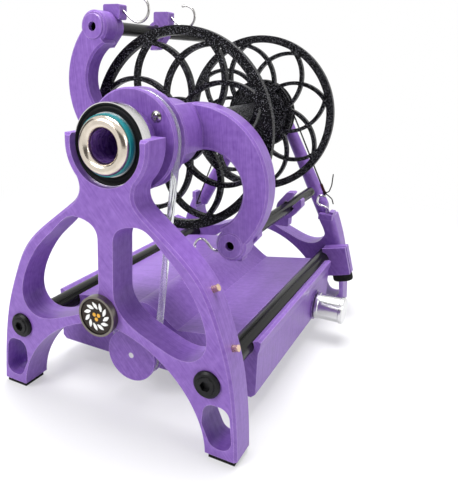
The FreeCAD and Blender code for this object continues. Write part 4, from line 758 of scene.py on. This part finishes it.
BADGE_X, BADGE_Z = middle_of("medallion_face")
badge_low, badge_high = stand_box("medallion_face")
GROUND_R = (badge_high[0] - badge_low[0]) / 2
ground_front, ground_back = depth_of("medallion_face")
crown = [(GROUND_R * share, ground_front + GROUND_SUNK + CROWN_FALL * share ** 2) for share in CROWN_SHARES]
underside = [(GROUND_R, ground_back), (0.0, ground_back)]
ground = turned_piece("medallion_ground", crown + underside, BADGE_X, BADGE_Z, "badge", "stand")
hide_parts("medallion_face")
print("medallion ground %.1f mm wide" % (2 * GROUND_R))

# %% Leaves and seeds
LEAVES = 11
LEAF_CIRCLE = GROUND_R * 0.60
LEAF_LENGTH = GROUND_R * 0.50
LEAF_WIDTH = GROUND_R * 0.23
LEAF_RISE = 0.20
LEAF_LEAN = math.radians(38)
LEAF_TAPER = 0.35
SEEDS = 3
SEED_SIZE = GROUND_R * 0.26
SEED_CIRCLE = SEED_SIZE * 0.62
SEED_RISE = 0.30
CUSHION_FOOT = 0.30


def heading(turn):
    """Direction on the badge's face at an angle from the right."""
    return Vector((math.cos(turn), math.sin(turn)))


def cushion(name, centre, along, length, width, rise, finish, rings=6, steps=28):
    """Low cushion on the badge. A long one is drawn to a point at both ends."""
    across = Vector((-along.y, along.x))
    taper = LEAF_TAPER if length > width else 0.0

    def place(share, turn):
        slim = 1.0 - taper * abs(math.cos(turn))
        flat = (centre + along * (math.cos(turn) * share * length / 2)
                + across * (math.sin(turn) * share * slim * width / 2))
        return flat.x, ground_front + CUSHION_FOOT - rise * math.sqrt(1 - share ** 2), flat.y

    growing = [[place(i / rings, turn) for turn in circle(steps)] for i in range(rings + 1)]
    skinned_piece(name, growing, finish, "stand")


badge_centre = Vector((BADGE_X, BADGE_Z))
for i, turn in enumerate(circle(LEAVES)):
    leaf_centre = badge_centre + heading(turn) * LEAF_CIRCLE
    cushion("leaf_%d" % (i + 1), leaf_centre, heading(turn + LEAF_LEAN), LEAF_LENGTH, LEAF_WIDTH, LEAF_RISE,
            "leaf_white")
for i, turn in enumerate(circle(SEEDS)):
    seed_centre = badge_centre + heading(turn + math.pi / 2 / SEEDS) * SEED_CIRCLE
    cushion("seed_%d" % (i + 1), seed_centre, heading(0), SEED_SIZE, SEED_SIZE, SEED_RISE, "seed_yellow",
            rings=4, steps=20)
print(LEAVES, "leaves, each %.1f x %.1f mm, round %d seeds" % (LEAF_LENGTH, LEAF_WIDTH, SEEDS))

# %% [markdown]
# ## The rear corners
#
# In front of each rear leg a small block hugs the rod and leans with the leg, square to its outer
# edge. A groove round its outer edges looks like the seam between two layers, and a soft pad sits
# under it. The right leg's front wall closes the notch in which the brake's hook hangs.

# %% A leaning block
ROD_X, ROD_Z = middle_of("base_rod_right")
HOLLOW_R = 6.3
HOLLOW_START, HOLLOW_END, HOLLOW_STEP = -60, 84, 12
LEG_SET_BACK = 2.6
LEG_FRONT = depth_of("rear_frame")[0] + LEG_SET_BACK
BLOCK_FRONT = depth_of("rear_bracket_right")[0]
BLOCK_CORNERS = {"top left": (60.7, 51.6), "top right": (78.6, 55.7), "low right": (84.6, 34.6),
                 "low left": (65.4, 29.3)}
BLOCK_BEVEL = 0.45
BLOCK_OFF_LEG = 0.1
SEAM_INSET = 2.4
SEAM_START, SEAM_END = 3.2, 5.2


def stacked_piece(name, sections, side, finish, bevel):
    """Piece through outlines of x, z corners, each at its depth. Side -1 mirrors it to the left."""
    rings = [[(side * x, depth, z) for x, z in outline] for outline, depth in sections]
    return skinned_piece(name, rings, finish, "stand", bevel)


def block_outline(inset):
    """Leaning block, its inner edge hollowed round the rod, drawn in by an inset on its outer edges."""
    corner = {key: Vector(place) for key, place in BLOCK_CORNERS.items()}
    right = (corner["top right"] - corner["top left"]).normalized() * inset
    up = (corner["top right"] - corner["low right"]).normalized() * inset
    hollow = [Vector((ROD_X, ROD_Z)) + heading(math.radians(degrees)) * HOLLOW_R
              for degrees in range(HOLLOW_START, HOLLOW_END + 1, HOLLOW_STEP)]
    return [corner["top left"] - up, corner["top right"] - right - up, corner["low right"] - right + up,
            corner["low left"] + up] + hollow


def corner_block(side_name, side):
    """Block in front of a rear leg, in place of the solid bracket."""
    whole, drawn_in = block_outline(0.0), block_outline(SEAM_INSET)
    seam_start, seam_end = BLOCK_FRONT + SEAM_START, BLOCK_FRONT + SEAM_END
    sections = ((whole, BLOCK_FRONT), (whole, seam_start), (drawn_in, seam_start), (drawn_in, seam_end),
                (whole, seam_end), (whole, LEG_FRONT - BLOCK_OFF_LEG))
    block = stacked_piece("corner_block_" + side_name, sections, side, "purple_print", BLOCK_BEVEL)
    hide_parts("rear_bracket_" + side_name)


print("block in front of the leg %.1f mm deep" % (LEG_FRONT - BLOCK_FRONT))

# %% A soft pad, and both corners
PAD_LENGTH = 15.6
PAD_DEPTH = 11.4
PAD_MIDDLE = 6.0
PAD_OVERHANG = 0.3
PAD_BEVEL = 0.3
# Drop below the block's lower edge, and how far the pad is drawn in all round.
PAD_SECTIONS = ((0.05, 0.0), (4.6, 0.0), (5.6, 0.5), (6.0, 1.6))


def stadium(length, depth, steps=10):
    """Rounded outline of the pad seen from below, as pairs of along and back."""
    r = depth / 2
    ends = []
    for centre, start in ((length / 2 - r, -90), (r - length / 2, 90)):
        for i in range(steps + 1):
            turn = math.radians(start + 180 * i / steps)
            ends.append((centre + r * math.cos(turn), r * math.sin(turn)))
    return ends


def corner_pad(side_name, side):
    """Soft pad under the block and square to its lower edge, in place of the solid bumper."""
    low_left, low_right = Vector(BLOCK_CORNERS["low left"]), Vector(BLOCK_CORNERS["low right"])
    along = (low_right - low_left).normalized()
    down = Vector((along.y, -along.x))
    centre = low_right - along * (PAD_LENGTH / 2 - PAD_OVERHANG)
    rings = []
    for drop, drawn_in in PAD_SECTIONS:
        ring = []
        for reach, back in stadium(PAD_LENGTH - 2 * drawn_in, PAD_DEPTH - 2 * drawn_in):
            flat = centre + along * reach + down * drop
            ring.append((side * flat.x, BLOCK_FRONT + PAD_MIDDLE + back, flat.y))
        rings.append(ring)
    pad = skinned_piece("corner_pad_" + side_name, rings, "rubber_pad", "stand", PAD_BEVEL)
    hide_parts("rear_bumper_" + side_name)


for side_name, side in (("left", -1), ("right", 1)):
    corner_block(side_name, side)
    corner_pad(side_name, side)
print("pads %.1f x %.1f mm" % (PAD_LENGTH, PAD_DEPTH))

# %% The right leg's front wall
WALL_OUT = 0.02
WALL_THICK = 2.9
WALL_BEVEL = 0.3
WALL_OUTLINE = ((52.9, 75.6), (52.9, 73.0), (54.4, 70.0), (57.0, 65.6),
                (58.7, 61.6), (59.0, 57.5), (61.6, 57.5), (61.6, 75.6))

wall_sections = ((WALL_OUTLINE, LEG_FRONT - WALL_OUT), (WALL_OUTLINE, LEG_FRONT + WALL_THICK))
stacked_piece("leg_front_wall", wall_sections, 1, "purple_print", WALL_BEVEL)
print("wall over the notch %.1f mm thick" % WALL_THICK)

# %% [markdown]
# ## A whipped knot
#
# The brake's cord ends in a knot, and its last stretch is whipped with dark red thread: a few tight
# turns lie side by side over the cord. The knot's place follows from the wire hook that holds it,
# and the cord's direction from the groove that it comes down from.

# %% Whip the cord above its knot
HOOK_WIRE_R = 0.65
KNOT_BESIDE_TAIL = 2.4
KNOT_OVER_HOOK = 1.9
GROOVE_DROP = 2.35
CORD_R = 0.55
THREAD_START = 1.0
THREAD = 1.15
THREAD_BED = 0.30
THREAD_RIDGE = 0.42
THREAD_END = 0.02
TURNS = 6
SAMPLES = 6

hook_low, hook_high = stand_box("brake_hook")
knot = Vector((hook_high[0] - HOOK_WIRE_R - KNOT_BESIDE_TAIL, hook_low[1] + HOOK_WIRE_R,
               hook_high[2] + KNOT_OVER_HOOK))
groove_r = radius_of("brake_whorl") - GROOVE_DROP
run = Vector((knot.x, knot.z - AXIS_HEIGHT))
leave = heading(math.atan2(run.y, run.x) + math.acos(groove_r / run.length)) * groove_r
touch = Vector((leave.x, sum(depth_of("brake_whorl")) / 2, AXIS_HEIGHT + leave.y))
cord_way = (touch - knot).normalized()


def tube(name, path, radii, finish, body, steps=20):
    """Closed round tube along points in millimetres, with a radius at each of them."""
    rings = []
    for i, (centre, radius) in enumerate(zip(path, radii)):
        way = (path[min(i + 1, len(path) - 1)] - path[max(i - 1, 0)]).normalized()
        across = way.cross(Vector((0, 1, 0))).normalized()
        third = way.cross(across)
        rings.append([centre + across * (radius * math.cos(turn)) + third * (radius * math.sin(turn))
                      for turn in circle(steps)])
    return skinned_piece(name, rings, finish, body)


def thread_radius(i):
    """Radius at a step along the whipping: ridges with a groove between turns, and thin at the ends."""
    if i in (0, TURNS * SAMPLES):
        return CORD_R + THREAD_END
    return CORD_R + THREAD_BED + THREAD_RIDGE * abs(math.sin(math.pi * i / SAMPLES))


thread_steps = range(TURNS * SAMPLES + 1)
thread_path = [knot + cord_way * (THREAD_START + THREAD * i / SAMPLES) for i in thread_steps]
thread_radii = [thread_radius(i) for i in thread_steps]
tube("cord_whipping", thread_path, thread_radii, "whipping_thread", "stand")
print("whipping %.1f mm long, knot %.1f mm above the table" % (TURNS * THREAD, knot.z))

# %% [markdown]
# ## The near right yarn hook
#
# The hook that guides the yarn beside the near right arm is bent to an open wave: up over the yarn,
# down beside the arm, and into its carrier. Its wire is drawn through a few points with a smooth
# curve, from its free tip to the carrier that holds it.

# %% Bend the near right hook
HOOK_POINTS = ((15.3, 83.6), (15.6, 86.3), (17.0, 88.9), (19.3, 90.3), (21.8, 90.1), (23.8, 88.7),
               (25.6, 86.8), (27.6, 85.3), (30.2, 84.7), (33.4, 84.9), (38.4, 84.8))
HOOK_R = 0.85
TIP_SHARES = [0.55, 0.9]


def between(a, b, c, d, s):
    """Catmull-Rom value a share s of the way from b to c, with a and d as their neighbours."""
    square, cube = 2 * a - 5 * b + 4 * c - d, 3 * b - a - 3 * c + d
    return 0.5 * (2 * b + (c - a) * s + square * s ** 2 + cube * s ** 3)


def smooth_path(points, depth, per_span=6):
    """Smooth curve through x, z points at one depth."""
    ends = (points[0],) + points + (points[-1],)
    path = []
    for around in zip(ends, ends[1:], ends[2:], ends[3:]):
        for i in range(per_span):
            x, z = [between(*values, i / per_span) for values in zip(*around)]
            path.append(Vector((x, depth, z)))
    path.append(Vector((points[-1][0], depth, points[-1][1])))
    return path


hook_path = smooth_path(HOOK_POINTS, sum(depth_of("hook_near_right")) / 2)
hook_radii = [HOOK_R * share for share in TIP_SHARES + [1.0] * (len(hook_path) - len(TIP_SHARES))]
wave = tube("wave_hook", hook_path, hook_radii, "polished", "carrier_near_right",
            steps=16)
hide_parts("hook_near_right")
print("hook of %.0f mm of wire" % sum((b - a).length for a, b in zip(hook_path, hook_path[1:])))
